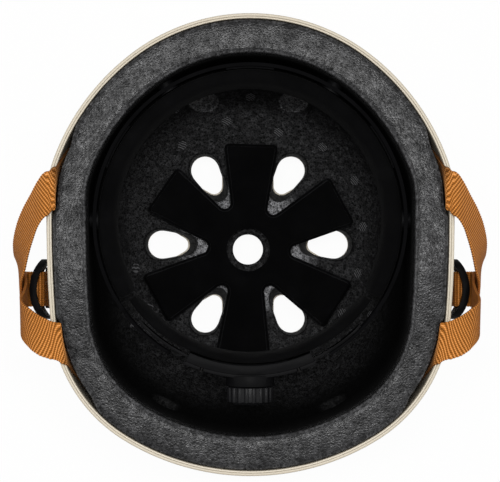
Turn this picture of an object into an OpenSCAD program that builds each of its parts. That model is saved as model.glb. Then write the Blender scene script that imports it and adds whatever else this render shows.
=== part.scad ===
// Skate helmet lying on its crown, opening upwards, wearer's front along +Y.
// Origin: the middle of the floor area below the shell. Millimetres.

/* [Shell outline] */
// Half the shell's width over the ears
half_w = 110; // [106:0.5:114]
// From the middle of the helmet to the brow edge
front_len = 125; // [121:0.5:129]
// From the middle of the helmet to the nape edge
rear_len = 125; // [121:0.5:129]
// How far in front of the middle the shell is widest
wide_y = 25; // [20:0.5:30]
// Radius of the brow corners
brow_corner_r = 127; // [120:1:135]
// Radius of the nape corners
nape_corner_r = 83; // [78:1:90]

/* [Shell and foam section] */
// Wall of the outer shell
shell_wall = 2.4; // [2:0.1:3]
// Clearance between shell and foam
shell_gap = 0.3; // [0.2:0.05:0.6]
// Foam thickness at the rim
foam_rim = 18.5; // [17:0.5:20]
// Foam thickness at the crown
foam_crown = 22; // [19:0.5:25]
// Height at which the dome turns into the upright side wall
waist_z = 96; // [92:1:100]
// Exponent of the dome's section, 2 is an ellipse
dome_power = 2.2; // [2:0.05:2.5]
// Radius of the flat at the crown
crown_flat = 20; // [14:1:26]
// How far the rolled lip stands out
lip_bead = 0.4; // [0.2:0.1:1]
// How far the foam's rim lies below the lip
foam_drop = 1.2; // [0.6:0.1:2]
// Rounding of the foam's inner edge
foam_round = 5; // [3:0.5:7]

/* [Rim heights] */
// Rim height at the brow
rim_brow = 141; // [138:0.5:144]
// Rim height in front of the ears
rim_temple = 143.5; // [141:0.5:146]
// Rim height at the ear
rim_ear = 148; // [146:0.5:150]
// Rim height at the nape
rim_nape = 146.5; // [144:0.5:148]

/* [Vents] */
// Number of vents round the crown
crown_vents = 6; // [5:1:6]
// Radius of the circle that the wide ends of the crown vents lie on
vent_ring_r = 52.3; // [50:0.5:55]
// Radius of a crown vent's wide end
vent_wide_r = 8; // [7:0.25:9]
// Radius of a crown vent's narrow end
vent_tip_r = 4.4; // [3:0.2:6]
// Distance between the centres of the two ends
vent_len = 10.6; // [8:0.2:13]
// Radius of a crown vent half way between its ends
vent_mid_r = 7.1; // [6:0.1:7.8]
// Radius of the vent in the middle of the crown
hub_vent_r = 9.3; // [8:0.1:10]
// How far the middle vent lies towards the nape
hub_vent_back = 3; // [0:0.5:5]
// How much wider the shell's holes are than the foam's tunnels
hole_extra = 0.6; // [0.3:0.1:1]
// How far the tunnels widen towards the crown's middle
funnel_reach = 9.5; // [6:0.5:11]
// Half the width of a brow or nape vent
side_vent_w = 9; // [7:0.5:10]
// Half the height of a brow or nape vent
side_vent_h = 7; // [5:0.5:8]

/* [Head ring] */
// Clearance between the ring band and the foam at the brow
ring_ahead = 3.9; // [2.5:0.1:4.5]
// Outer radius of the ring band
ring_r = 86.6; // [86:0.1:87]
// Thickness of the ring band
ring_wall = 1.4; // [1.2:0.1:1.6]
// Height of the ring band
ring_h = 16; // [13:0.5:18]
// Height of the dial's axis above the floor
dial_z = 120; // [117:0.5:122]
// Half the opening of the ring at the nape, degrees
ring_open = 31; // [29:0.5:33]
// Radius of a plug's stem
plug_r = 2.4; // [2:0.1:2.8]
// Length of a plug's stem inside the foam
plug_grip = 13; // [10:0.5:14]

/* [Dial and racks] */
// Module of the pinion and racks
gear_module = 1; // [0.9:0.05:1.1]
// Teeth on the pinion
pinion_teeth = 10; // [10:2:12]
// Play between meshing flanks
backlash = 0.4; // [0.3:0.05:0.5]
// Height of a rack arm's window rails
rail_h = 1.9; // [1.6:0.1:2.2]
// Thickness of a rack arm
arm_wall = 1.4; // [1.2:0.1:1.5]
// Clearance between sliding faces
slide_gap = 0.3; // [0.25:0.05:0.4]
// How far the arms draw in from the pose drawn
take_up = 14; // [10:1:14]
// How far the arms let out from the pose drawn
let_out = 8; // [6:1:9]
// Length of an arm from the dial's axis to its free end
arm_len = 68; // [62:1:72]
// Half the length of the guide that the arms run in, degrees
guide_half = 24.5; // [23:0.5:26]
// Radius of the knob
knob_r = 12.7; // [11.5:0.1:13.5]
// Depth of the knob
knob_h = 9.5; // [8:0.5:11]
// Ribs round the knob
knob_ribs = 18; // [14:1:22]

/* [Pads] */
// Thickness of the nape pad
nape_pad_t = 5.6; // [4.5:0.1:6.5]
// Height of the ring pads
pad_h = 33; // [28:1:34]
// Thickness of the crown pad
crown_pad_t = 6; // [4:0.5:7]
// Thickness of the hook dots under the crown pad
hook_t = 2; // [1.5:0.1:2.5]
// Length of the crown pad's arms from its middle
pad_arm_len = 63; // [60:0.5:66]
// Width of an arm at its end
pad_arm_w = 33; // [29:0.5:35]
// Radius of the hole in the crown pad
pad_hole_r = 12.9; // [12:0.1:14]
// Width of the pressed edge of the crown pad
pad_edge = 1.8; // [1.2:0.1:2.4]
// Rounding of the corners at the arms' ends
pad_corner_r = 3; // [2:0.25:5]
// Rounding between two arms
pad_valley_r = 3.5; // [2:0.25:5]

/* [Straps] */
// Width of the webbing
web_w = 20; // [18:0.5:21]
// Thickness of the webbing
web_t = 1.6; // [1.3:0.1:1.8]
// Where the front strap leaves the rim
front_strap_y = 30; // [28:0.5:32]
// Where the rear strap leaves the rim
rear_strap_y = -54; // [-57:0.5:-52]
// Where the front strap is riveted
front_rivet_y = 50; // [47:0.5:52]
// Where the rear strap is riveted
rear_rivet_y = -74; // [-76:0.5:-70]
// Height of the rivets above the waist
rivet_rise = 9; // [7:0.5:12]
// Radius of a rivet's head
rivet_r = 5.5; // [5:0.25:6.5]
// Height of the fold axis above the lip
fold_rise = 2.7; // [2.5:0.1:3]
// Gap at the fold between the anchored and the hanging webbing
fold_gap = 0.7; // [0.6:0.05:0.8]
// Length of the divider along the helmet
divider_len = 34; // [32:0.5:36]
// Height of the divider
divider_h = 21; // [19:0.5:23]
// Wall of the divider
divider_wall = 3.8; // [3.2:0.1:4.2]

/* [Buckle] */
// Height of the buckle's pivot bar above the floor
bar_z = 5.2; // [5:0.1:6]
// Radius of the pivot bar
bar_r = 2; // [1.8:0.1:2.2]
// Outer width of the buckle
buckle_w = 28; // [27:0.5:30]
// Thickness of the buckle
buckle_t = 9; // [8:0.25:9.4]
// Length of the buckle's socket half behind its bar
socket_len = 34; // [31:0.5:37]
// Distance from the pivot bar to the body of a buckle half
bar_reach = 10; // [9:0.5:12]
// Chamfer along the buckle's edges
buckle_edge = 1.6; // [1.2:0.1:2]
// Depth of the prong half's body
prong_body = 8; // [7:0.5:10]
// Wall of the socket
socket_wall = 1.6; // [1.4:0.1:2]
// Length of the prongs
prong_len = 22; // [19:0.5:24]

/* [Hidden] */

shell_colour = "cornsilk";
foam_colour = "dimgray";
pad_colour = "black";
web_colour = "peru";
plastic_colour = "darkslategray";

// Height of a solid that only cuts or is cut
cut_h = 100;
side_vent_depth = 90;
rear_vent_depth = 70;

// Normal angles where the outline's arcs meet
brow_a1 = 20.5;
brow_a2 = 52.6;
nape_a1 = 4;
nape_a2 = 58.3;

foam_in = shell_wall + shell_gap + foam_rim;
foam_apex = shell_wall + shell_gap + foam_crown;
web_gap_mid = shell_wall + 0.3 + web_t / 2;
pocket_depth = web_t + 2.2;
washer_t = 0.8;
washer_in = -shell_wall - 0.3 - web_t - 0.3 - washer_t;
rim_points = [[-rear_len, rim_nape], [-60, rim_nape - 0.5], [-17, rim_ear],
              [45, rim_temple], [front_len, rim_brow]];

ring_y = front_len - foam_in - ring_ahead - ring_r;
rivet_z = waist_z + rivet_rise;

pitch = PI * gear_module;
pitch_r = gear_module * pinion_teeth / 2;
addendum = 0.8 * gear_module;
dedendum = 1.15 * gear_module;
arm_half_h = pitch_r + dedendum + rail_h;
band_in = ring_r - ring_wall;
outer_arm_out = band_in - slide_gap;
outer_arm_in = outer_arm_out - arm_wall;
inner_arm_out = outer_arm_in - slide_gap;
inner_arm_in = inner_arm_out - arm_wall;
channel_in = inner_arm_in - slide_gap;
channel_out = band_in;
guide_in = channel_in - 1.5;
guide_out = channel_out + 1.8;
guide_half_h = arm_half_h + slide_gap + 1.6;
guide_split = channel_out + 0.05;
boss_end = guide_out + 4.5;
knob_start = boss_end + 0.5;
knob_end = knob_start + knob_h;
shaft_r = 3;
pinion_tip_r = pitch_r + addendum;
ratchet_r = 6.5;
spring_r = 10.2;

pad_top = dial_z + ring_h / 2 + 1;
pad_back = band_in - 1.8;
nape_back = guide_in - 0.4;
pad_r = nape_back - nape_pad_t;
nape_half = 57.5;
plug_angles = [0, 58, 122, 180];

crown_y = -hub_vent_back;
pad_arm_angles = [88.5, 28, -32, -93, 208, 145];
pad_hub_r = 24.4;

divider_out = half_w + 14.2;
divider_y = -25.5;
divider_z = 89.5;
divider_bow = 26;
bar_x = half_w + 7.5;

eps = 0.01;
vent_fn = 24;
$fn = 64;

// Outline of the shell by normal angle
function corner_k(a2) = (1 - sin(a2)) / cos(a2);
function corner_d(len, y, rc, a1, a2) =
    (len - y - rc - corner_k(a2) * (half_w - rc)) / (sin(a1) - corner_k(a2) * (1 - cos(a1)));
function side_c(len, y, rc, a1, a2) = [half_w - rc - corner_d(len, y, rc, a1, a2), y];
function corner_c(len, y, rc, a1, a2) =
    side_c(len, y, rc, a1, a2) + corner_d(len, y, rc, a1, a2) * [cos(a1), sin(a1)];
function end_r(len, y, rc, a1, a2) = rc + corner_c(len, y, rc, a1, a2)[0] / cos(a2);
function end_c(len, y, rc, a1, a2) = [0, len - end_r(len, y, rc, a1, a2)];
function half_pt(len, y, rc, a1, a2, a, off) =
    a < a1 ? side_c(len, y, rc, a1, a2)
             + (rc + corner_d(len, y, rc, a1, a2) - off) * [cos(a), sin(a)]
    : a < a2 ? corner_c(len, y, rc, a1, a2) + (rc - off) * [cos(a), sin(a)]
    : end_c(len, y, rc, a1, a2) + (end_r(len, y, rc, a1, a2) - off) * [cos(a), sin(a)];
function outline_pt(a, off) =
    a >= 0 ? half_pt(front_len, wide_y, brow_corner_r, brow_a1, brow_a2, a, off)
    : let (p = half_pt(rear_len, -wide_y, nape_corner_r, nape_a1, nape_a2, -a, off)) [p[0], -p[1]];

function spread(a, b, n) = [for (i = [0 : n - 1]) a + (b - a) * i / n];
function half_angles(k) = concat(
    spread(-90, -nape_a2, 3 * k), spread(-nape_a2, -nape_a1, 4 * k), spread(-nape_a1, 0, 3 * k),
    spread(0, brow_a1, 2 * k), spread(brow_a1, brow_a2, 3 * k), spread(brow_a2, 90, 3 * k));

// One closed outline, anticlockwise from the nape, k sets how finely it is cut
function outline(off, k) =
    let (h = half_angles(k), n = len(h))
    concat([for (a = h) outline_pt(a, off)],
           [for (i = [0 : n - 1]) let (a = i == 0 ? 90 : h[n - i], p = outline_pt(a, off)) [-p[0], p[1]]]);

function rim_soft(y) = (lookup(y - 9, rim_points) + 2 * lookup(y, rim_points)
                        + lookup(y + 9, rim_points)) / 4;

// A ring of the dome: share is 0 at the crown's middle and 1 at the waist
function dome_s(b) = pow(sin(b), 2 / dome_power);
function dome_h(b) = 1 - pow(cos(b), 2 / dome_power);
first_b = asin(pow(crown_flat / half_w, dome_power / 2));
function dome_z(b, apex) =
    apex + (waist_z - apex) * (dome_h(b) - dome_h(first_b)) / (1 - dome_h(first_b));
function dome_ring(b, off, apex, k) =
    [for (p = outline(off, k)) let (s = dome_s(b), q = [p[0] * s, crown_y + (p[1] - crown_y) * s])
        [q[0], q[1], dome_z(b, apex)]];
function wall_ring(off, t, drop, k) =
    [for (p = outline(off, k), r = [rim_soft(p[1]) - drop]) [p[0], p[1], waist_z + (r - waist_z) * t]];
function lip_ring(off, below, k) =
    [for (p = outline(off, k)) [p[0], p[1], rim_soft(p[1]) - below]];
function dome_rings(off, apex, steps, k) =
    [for (i = [0 : steps]) dome_ring(first_b + (90 - first_b) * i / steps, off, apex, k)];
function turned(v) = [for (i = [len(v) - 1 : -1 : 0]) v[i]];

// Closed solid through a list of rings of equal length
module loft(rings) {
    n = len(rings[0]);
    m = len(rings);
    polyhedron(
        points = [for (r = rings, p = r) p],
        faces = concat(
            [for (j = [0 : m - 2], i = [0 : n - 1]) [j * n + i, (j + 1) * n + i, j * n + (i + 1) % n]],
            [for (j = [0 : m - 2], i = [0 : n - 1])
                [j * n + (i + 1) % n, (j + 1) * n + i, (j + 1) * n + (i + 1) % n]],
            [[for (i = [0 : n - 1]) i]],
            [[for (i = [n - 1 : -1 : 0]) (m - 1) * n + i]]));
}

// Solid dome up to the rim, at one offset from the outer surface
module dome_solid(off, apex, steps, k) {
    loft(concat(dome_rings(off, apex, steps, k), [lip_ring(off, -12, k)]));
}

// Distance from the ring's centre to the foam's inner wall, by direction
foam_reach_table = [for (p = outline(foam_in, 2)) if (p[1] > ring_y - 60)
    let (q = [p[0], p[1] - ring_y], a = atan2(q[1], q[0])) [a < -90 ? a + 360 : a, norm(q)]];
function foam_reach(a) = lookup(a, foam_reach_table);

module at_ring() {
    translate([0, ring_y, dial_z]) children();
}

// Part of a ring: radii, heights and angles
module arc_band(r0, r1, z0, z1, a0, a1) {
    rotate([0, 0, a0])
        rotate_extrude(angle = a1 - a0, $fn = 128)
            translate([r0, z0]) square([r1 - r0, z1 - z0]);
}

module mirrored(side) {
    if (side > 0) children();
    else mirror([1, 0, 0]) children();
}

// Crown vent: a teardrop whose narrow end points to the crown's middle
module crown_vent(extra, funnel) {
    hull() {
        translate([vent_ring_r, 0, -1]) cylinder(r = vent_wide_r + extra, h = 10, $fn = vent_fn);
        translate([vent_ring_r - vent_len / 2, 0, -1])
            cylinder(r = vent_mid_r + extra, h = 9, $fn = vent_fn);
        translate([vent_ring_r - vent_len, 0, -1]) cylinder(r = vent_tip_r + extra, h = 8, $fn = vent_fn);
        translate([vent_ring_r, 0, waist_z / 2 - 4])
            cylinder(r = vent_wide_r + extra, h = 10, $fn = vent_fn);
        translate([vent_ring_r - vent_len - funnel, 0, waist_z / 2 - 4])
            cylinder(r = vent_tip_r + extra, h = 10, $fn = vent_fn);
    }
}

module side_vent(extra, depth) {
    hull()
        for (s = [-1, 1])
            translate([0, s * (side_vent_w - side_vent_h), 0])
                rotate([0, 90, 0]) cylinder(r = side_vent_h + extra, h = depth, $fn = vent_fn);
}

module all_vents(extra, funnel) {
    for (i = [0 : crown_vents - 1])
        rotate([0, 0, i * 360 / crown_vents]) crown_vent(extra, funnel);
    translate([0, crown_y, -1]) cylinder(r = hub_vent_r + extra, h = waist_z / 2, $fn = 40);
    for (s = [-1, 1]) {
        translate([s * 24, front_len - 60, 68])
            rotate([0, 38, 90 - s * 12]) side_vent(extra, side_vent_depth);
        translate([s * 30, -rear_len + 55, 84])
            rotate([0, 4, -90 + s * 40]) side_vent(extra, rear_vent_depth);
    }
}

function shell_rings(k) =
    let (half_t = shell_wall / 2)
    concat(
        dome_rings(0, 0, 8, k),
        [for (t = [0.35, 0.7]) wall_ring(0, t, 0, k)],
        [lip_ring(0, 6, k)],
        [for (a = [0 : 36 : 180])
            lip_ring(half_t - (half_t + (a < 90 ? lip_bead : 0)) * cos(a),
                     half_t - half_t * sin(a), k)],
        [lip_ring(shell_wall, 6, k)],
        [wall_ring(shell_wall, 0.5, 0, k)],
        turned(dome_rings(shell_wall, shell_wall, 7, k)));

module outer_shell() {
    color(shell_colour)
        difference() {
            loft(shell_rings(2));
            all_vents(hole_extra, 0);
            for (side = [-1, 1], y = [front_rivet_y, rear_rivet_y])
                mirrored(side) at_rivet(y) cylinder(r = 2.3, h = 20, center = true, $fn = 24);
        }
}

function foam_rings(k) =
    concat(
        dome_rings(shell_wall + shell_gap, shell_wall + shell_gap, 7, k),
        [wall_ring(shell_wall + shell_gap, 0.5, foam_drop, k)],
        [for (a = [0 : 30 : 90])
            lip_ring(shell_wall + shell_gap + 2 - 2 * cos(a), foam_drop + 2 - 2 * sin(a), k)],
        [for (a = [90 : -22.5 : 0])
            lip_ring(foam_in - foam_round + foam_round * cos(a),
                     foam_drop + foam_round - foam_round * sin(a), k)],
        turned(dome_rings(foam_in, foam_apex, 7, k)));

// Strip that follows the side wall between places along the helmet
side_table = [for (a = half_angles(4)) [outline_pt(a, 0)[1], a]];
function side_angle(y) = lookup(y, side_table);
function along_wall(ys, off) = [for (y = ys) outline_pt(side_angle(y), off)];
module side_strip(ys, off0, off1) {
    polygon(concat(along_wall(ys, off0), turned(along_wall(ys, off1))));
}

// Places from beside the strap to behind its rivet, with a flat facet at the rivet
rivet_flat = 5;
strap_room = 3;
function strip_ys(y, rivet_y) =
    let (s = rivet_y > y ? 1 : -1, reach = s * (web_w / 2 + strap_room),
         near = y - reach, far = rivet_y + reach, flat = rivet_y - s * rivet_flat)
    concat([for (i = [0 : 3]) near + (flat - near) * i / 4],
           [flat, rivet_y + s * rivet_flat, far]);

// Room between shell and foam for the anchored webbing
module strap_pocket(y, rivet_y) {
    translate([0, 0, rivet_z - web_w / 2 - 4])
        linear_extrude(cut_h)
            side_strip(strip_ys(y, rivet_y), shell_wall + eps, shell_wall + pocket_depth);
}

module foam_liner() {
    color(foam_colour)
        difference() {
            loft(foam_rings(2));
            all_vents(0, funnel_reach);
            for (side = [-1, 1]) mirrored(side) {
                strap_pocket(front_strap_y, front_rivet_y);
                strap_pocket(rear_strap_y, rear_rivet_y);
            }
            at_ring() for (a = plug_angles)
                rotate([0, 0, a]) translate([foam_reach(a) - 8, 0, 0])
                    rotate([0, 90, 0]) cylinder(r = plug_r + 0.4, h = plug_grip + 9, $fn = 24);
        }
}

// Frame on the side wall at a rivet, +Z outwards
module at_rivet(y) {
    a = side_angle(y);
    p = outline_pt(a, 0);
    translate([p[0], p[1], rivet_z]) rotate([0, 0, a]) rotate([0, 90, 0]) children();
}

module strap_rivets() {
    color("silver")
        for (side = [-1, 1], y = [front_rivet_y, rear_rivet_y])
            mirrored(side) at_rivet(y) {
                rotate_extrude()
                    polygon([[0, washer_in - 0.6], [2.4, washer_in - 0.6], [2.9, washer_in - 0.1],
                             [1.9, washer_in - 0.1], [1.9, 0.25], [rivet_r, 0.25], [rivet_r, 0.7],
                             [rivet_r - 1.6, 1.7], [0, 2.2]]);
            }
}

module rivet_washers() {
    color("gray")
        for (side = [-1, 1], y = [front_rivet_y, rear_rivet_y])
            mirrored(side) at_rivet(y)
                translate([0, 0, washer_in])
                    difference() {
                        cylinder(r = rivet_r, h = washer_t);
                        translate([0, 0, -1]) cylinder(r = 2.05, h = 3);
                    }
}

function fold_z(y) = rim_soft(y) + fold_rise;

// Anchored webbing: it leans from its rivet to where it leaves the rim
module anchor_web(side, y, rivet_y) {
    top = fold_z(y) - web_t / 2 - fold_gap;
    half_top = web_w / 2 / cos(atan((rivet_y - y) / (top - rivet_z)));
    color(web_colour)
        mirrored(side)
            difference() {
                intersection() {
                    translate([0, 0, rivet_z - web_w])
                        linear_extrude(cut_h)
                            side_strip(strip_ys(y, rivet_y), shell_wall + 0.3, shell_wall + 0.3 + web_t);
                    rotate([90, 0, 90]) linear_extrude(half_w + 10)
                        hull() {
                            translate([rivet_y, rivet_z]) circle(r = web_w / 2);
                            translate([y - half_top, top - 1]) square([2 * half_top, 1]);
                        }
                }
                at_rivet(rivet_y) cylinder(r = 2.1, h = 20, center = true);
            }
}

module head_ring() {
    color(plastic_colour)
        at_ring()
            difference() {
                union() {
                    arc_band(band_in, ring_r, -ring_h / 2, ring_h / 2,
                             -90 + ring_open, 270 - ring_open);
                    arc_band(band_in - 0.5, ring_r, ring_h / 2 - 1.2, ring_h / 2,
                             -90 + ring_open + 22, 270 - ring_open - 22);
                }
                for (a = plug_angles)
                    rotate([0, 0, a]) translate([band_in - 4, 0, 0])
                        rotate([0, 90, 0]) cylinder(r = plug_r + 0.2, h = 10);
            }
}

// Push plug: head inside the band, spacer collar, barbed stem in the foam
module ring_plug(reach) {
    rotate([0, 90, 0])
        rotate_extrude()
            polygon(concat(
                [[0, band_in - 1.6], [6, band_in - 1.6], [6, band_in - 0.35], [plug_r, band_in - 0.35],
                 [plug_r, ring_r + 0.1], [4.5, ring_r + 0.1], [4.5, reach - 0.3],
                 [plug_r - 0.6, reach - 0.3]],
                [for (i = [0 : 2], q = [[plug_r - 0.6, 1], [plug_r, 1.2], [plug_r - 0.6, 3.4]])
                    [q[0], reach + q[1] + i * (plug_grip - 2) / 3]],
                [[0.8, reach + plug_grip - 1], [0, reach + plug_grip - 1]]));
}

module ring_plugs() {
    color("dimgray")
        at_ring() for (a = plug_angles) rotate([0, 0, a]) ring_plug(foam_reach(a));
}

// Section of a ring pad with its soft corners
function pad_section(r0, r1, h) =
    [[r0 + 2.6, 0], [r1 - 0.6, 0], [r1, 0.8], [r1, h - 0.8], [r1 - 0.6, h], [r0 + 2.8, h],
     [r0 + 0.8, h - 1.4], [r0, h - 4.5], [r0 - 0.4, h / 2], [r0, 4.5], [r0 + 0.8, 1.3]];

module ring_pad(r1, a0, a1) {
    color(pad_colour)
        translate([0, ring_y, pad_top - pad_h])
            rotate([0, 0, a0])
                rotate_extrude(angle = a1 - a0, $fn = 128)
                    polygon(pad_section(pad_r + 0.4, r1, pad_h));
}

module brow_pad() {
    ring_pad(pad_back, -90 + nape_half + 0.3, 270 - nape_half - 0.3);
}

module nape_pad() {
    ring_pad(nape_back, 270 - nape_half + 0.3, 270 + nape_half - 0.3);
}

module pad_hook_strips() {
    color("black")
        at_ring() {
            for (a = [29, 90, 151])
                arc_band(pad_back + 0.15, band_in - 0.6, -6, 6, a - 9, a + 9);
            arc_band(nape_back + 0.1, guide_in - 0.05, -7, 7, 270 - 15, 270 + 15);
        }
}

// Star of the crown pad, one arm
module pad_arm(a, inner_share) {
    rotate(a)
        polygon([[0, -pad_arm_w * inner_share], [pad_arm_len, -pad_arm_w / 2],
                 [pad_arm_len, pad_arm_w / 2], [0, pad_arm_w * inner_share]]);
}

module pad_star(inset) {
    translate([0, crown_y, 0]) linear_extrude(cut_h)
        offset(delta = -inset)
            offset(r = pad_corner_r, $fn = 16) offset(delta = -pad_corner_r)
                offset(r = -pad_valley_r, $fn = 16) offset(delta = pad_valley_r) {
                    for (a = pad_arm_angles) pad_arm(a, 0.22);
                    circle(r = pad_hub_r, $fn = 36);
                }
}

module foam_layer(from, to, k) {
    difference() {
        dome_solid(foam_in + from, foam_apex + from, 6, k);
        dome_solid(foam_in + to, foam_apex + to, 6, k);
    }
}

module crown_pad() {
    color(pad_colour)
        difference() {
            union() {
                intersection() {
                    foam_layer(hook_t, hook_t + 2, 1);
                    pad_star(0);
                }
                intersection() {
                    foam_layer(hook_t, hook_t + crown_pad_t, 1);
                    pad_star(pad_edge);
                }
            }
            translate([0, crown_y, 0]) cylinder(r = pad_hole_r, h = cut_h, $fn = 36);
        }
}

module crown_hook_dots() {
    color("black")
        intersection() {
            foam_layer(0.3, hook_t - 0.2, 1);
            translate([0, crown_y, 0])
                for (a = pad_arm_angles, r = [30, 52])
                    rotate([0, 0, a]) translate([r, 0, 0])
                        hull() for (s = [-1, 1]) translate([0, s * 3, 0]) cylinder(r = 5, h = cut_h, $fn = 8);
        }
}

// Tooth flanks: half thickness by height over the pitch line
function half_tooth(h) = pitch / 4 - backlash / 4 - h * tan(20);

module rack_tooth(depth) {
    root = dedendum + 0.3;
    rotate([90, 0, 90])
        linear_extrude(depth)
            polygon([[-half_tooth(-root), root], [-half_tooth(addendum), -addendum],
                     [half_tooth(addendum), -addendum], [half_tooth(-root), root]]);
}

window_end = take_up + pinion_tip_r + 0.8;
window_tip = let_out + pinion_tip_r + 0.8;
tooth_from = floor((-take_up - 1.5 * pitch) / pitch);
tooth_to = ceil((let_out + 1.5 * pitch) / pitch) - 1;

// Rack arm with its toothed window, drawn for the right side, teeth above the pinion
module rack_arm(r0, r1) {
    deg = 360 / PI / (r0 + r1);
    rail_z = pitch_r + dedendum;
    rotate([0, 0, 270])
        difference() {
            arc_band(r0, r1, -arm_half_h, arm_half_h, -arm_len * deg, (window_tip + 3) * deg);
            difference() {
                arc_band(r0 - 1, r1 + 1, -rail_z, rail_z, -window_end * deg, window_tip * deg);
                for (i = [tooth_from : tooth_to])
                    rotate([0, 0, (i + 0.5) * pitch * deg])
                        translate([r0 - 2, 0, pitch_r]) rack_tooth(r1 - r0 + 4);
            }
            for (s = [-1, 1], step = [[window_end + 6, 2, 1], [arm_len - 2, 4, 2]])
                translate([0, 0, s * arm_half_h])
                    arc_band(r0 - step[2], r1 + step[2], -step[1], step[1],
                             -(arm_len + step[2]) * deg, -step[0] * deg);
        }
}

module left_rack_arm() {
    color(plastic_colour)
        at_ring() rotate([0, 180, 0]) rack_arm(outer_arm_in, outer_arm_out);
}

module right_rack_arm() {
    color(plastic_colour) at_ring() rack_arm(inner_arm_in, inner_arm_out);
}

// Frame on the dial's axis, +Z pointing backwards from the ring's centre
module on_dial_axis() {
    at_ring() rotate([90, 0, 0]) children();
}

module dial_base() {
    color(plastic_colour)
        at_ring() {
            arc_band(guide_in, channel_in, -guide_half_h, guide_half_h,
                     270 - guide_half, 270 + guide_half);
            for (z = [-guide_half_h, guide_half_h - 1.6])
                arc_band(channel_in - eps, guide_split, z, z + 1.6, 270 - guide_half, 270 + guide_half);
        }
}

module dial_cover() {
    color(plastic_colour)
        difference() {
            union() {
                at_ring()
                    arc_band(guide_split + 0.05, guide_out, -guide_half_h, guide_half_h,
                             270 - guide_half, 270 + guide_half);
                on_dial_axis() translate([0, 0, guide_split + 0.4])
                    cylinder(r = knob_r + 0.6, h = boss_end - guide_split - 0.4);
            }
            on_dial_axis() {
                cylinder(r = shaft_r + 0.2, h = boss_end + 5);
                translate([0, 0, boss_end - 3]) cylinder(r = spring_r + 0.3, h = 5);
            }
            at_ring() cover_screw_places() translate([0, 0, -3]) cylinder(r = 1.25, h = 12);
        }
}

module cover_screw_places() {
    for (a = [-18, 18], z = [-1, 1])
        rotate([0, 0, 270 + a]) translate([guide_out, 0, z * (guide_half_h - 0.8)])
            rotate([0, 90, 0]) children();
}

module cover_screws() {
    color("silver")
        at_ring() cover_screw_places()
            rotate_extrude()
                polygon([[0, -1.75], [0.6, -1.75], [0.6, 0.1], [1.7, 0.1], [1.5, 0.8], [0, 1]]);
}

module ratchet_2d() {
    n = 24;
    polygon([for (i = [0 : n - 1], q = [[0, ratchet_r], [0.5, ratchet_r - 0.7]])
        q[1] * [cos((i + q[0]) * 360 / n), sin((i + q[0]) * 360 / n)]]);
}

// Open spring ring in the boss, with two fingers that click over the ratchet
module click_spring() {
    color("whitesmoke")
        on_dial_axis() translate([0, 0, boss_end - 2.8])
            linear_extrude(1.6) {
                difference() {
                    circle(r = spring_r);
                    circle(r = spring_r - 1.2);
                    translate([-3, 0]) square([6, spring_r + 1]);
                }
                for (s = [0, 180])
                    rotate(s)
                        polygon([[spring_r - 0.9, -2.2], [spring_r - 0.9, 2.2], [7.6, 1],
                                 [ratchet_r + 0.3, 0], [7.6, -1]]);
            }
}

module dial_knob() {
    color(plastic_colour)
        on_dial_axis()
            difference() {
                union() {
                    rotate_extrude()
                        polygon([[0, knob_start], [knob_r - 1.2, knob_start],
                                 [knob_r - 0.7, knob_start + 0.5], [knob_r - 0.7, knob_end - 1.5],
                                 [knob_r - 2.2, knob_end], [0, knob_end]]);
                    for (i = [0 : knob_ribs - 1])
                        rotate([0, 0, i * 360 / knob_ribs])
                            translate([knob_r - 1.4, 0, knob_start + 0.4])
                                cylinder(r = 1.4, h = knob_h - 1.6, $fn = 24);
                    translate([0, 0, boss_end - 2.6]) linear_extrude(knob_start - boss_end + 3) ratchet_2d();
                }
                translate([0, 0, boss_end - 4]) cylinder(r = shaft_r + 0.1, h = 9.5, $fn = 6);
                cylinder(r = 1.4, h = knob_end + 1);
                translate([0, 0, knob_end - 2.6]) cylinder(r = 3.9, h = 4);
            }
}

// Half thickness of a pinion tooth by radius
tooth_form = [[pitch_r - dedendum - 0.25, 0.55], [pitch_r - 0.35, 0.6], [pitch_r, 0.53],
              [pitch_r + 0.4, 0.4], [pinion_tip_r, 0.2]];

module pinion_2d() {
    polygon([for (i = [0 : pinion_teeth - 1])
        let (a = 90 + i * 360 / pinion_teeth)
        for (q = concat([for (t = tooth_form) [t[0], -t[1]]], turned([for (t = tooth_form) [t[0], t[1]]])))
            let (b = a + q[1] * gear_module / q[0] * 180 / PI) q[0] * [cos(b), sin(b)]]);
}

module dial_pinion() {
    color("gray")
        on_dial_axis()
            difference() {
                union() {
                    translate([0, 0, channel_in + 0.15])
                        linear_extrude(channel_out - channel_in - 0.35) pinion_2d();
                    translate([0, 0, channel_out - 0.3])
                        cylinder(r = shaft_r, h = boss_end - channel_out - 2.8);
                    translate([0, 0, boss_end - 3.2]) cylinder(r = shaft_r - 0.1, h = 8.2, $fn = 6);
                }
                translate([0, 0, channel_out + 1]) cylinder(r = 1.3, h = 20);
            }
}

module dial_screw() {
    color("silver")
        on_dial_axis()
            difference() {
                rotate_extrude()
                    polygon([[0, channel_out + 2], [1.2, channel_out + 2], [1.2, knob_end - 2.5],
                             [3.6, knob_end - 2.5], [3.6, knob_end - 1.4], [2.4, knob_end - 0.7],
                             [0, knob_end - 0.6]]);
                for (s = [0, 90]) translate([0, 0, knob_end - 0.7]) rotate([0, 0, s])
                    cube([4, 0.7, 1.4], center = true);
            }
}

// Ribbon through stations of [middle, line across]: a slanting line still leaves the web its width
function unit(v) = v / norm(v);
function ribbon_tangent(s, i) =
    unit(s[min(i + 1, len(s) - 1)][0] - s[max(i - 1, 0)][0]);
function ribbon_ring(s, i) =
    let (t = ribbon_tangent(s, i), w = unit(s[i][1]), n = cross(t, w), c = s[i][0])
    [for (q = [[-1, -1], [1, -1], [1, 1], [-1, 1]])
        c + q[0] * w * web_w / 2 / norm(n) + q[1] * unit(n) * web_t / 2];
module ribbon(s) {
    loft([for (i = [0 : len(s) - 1]) ribbon_ring(s, i)]);
}

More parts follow.
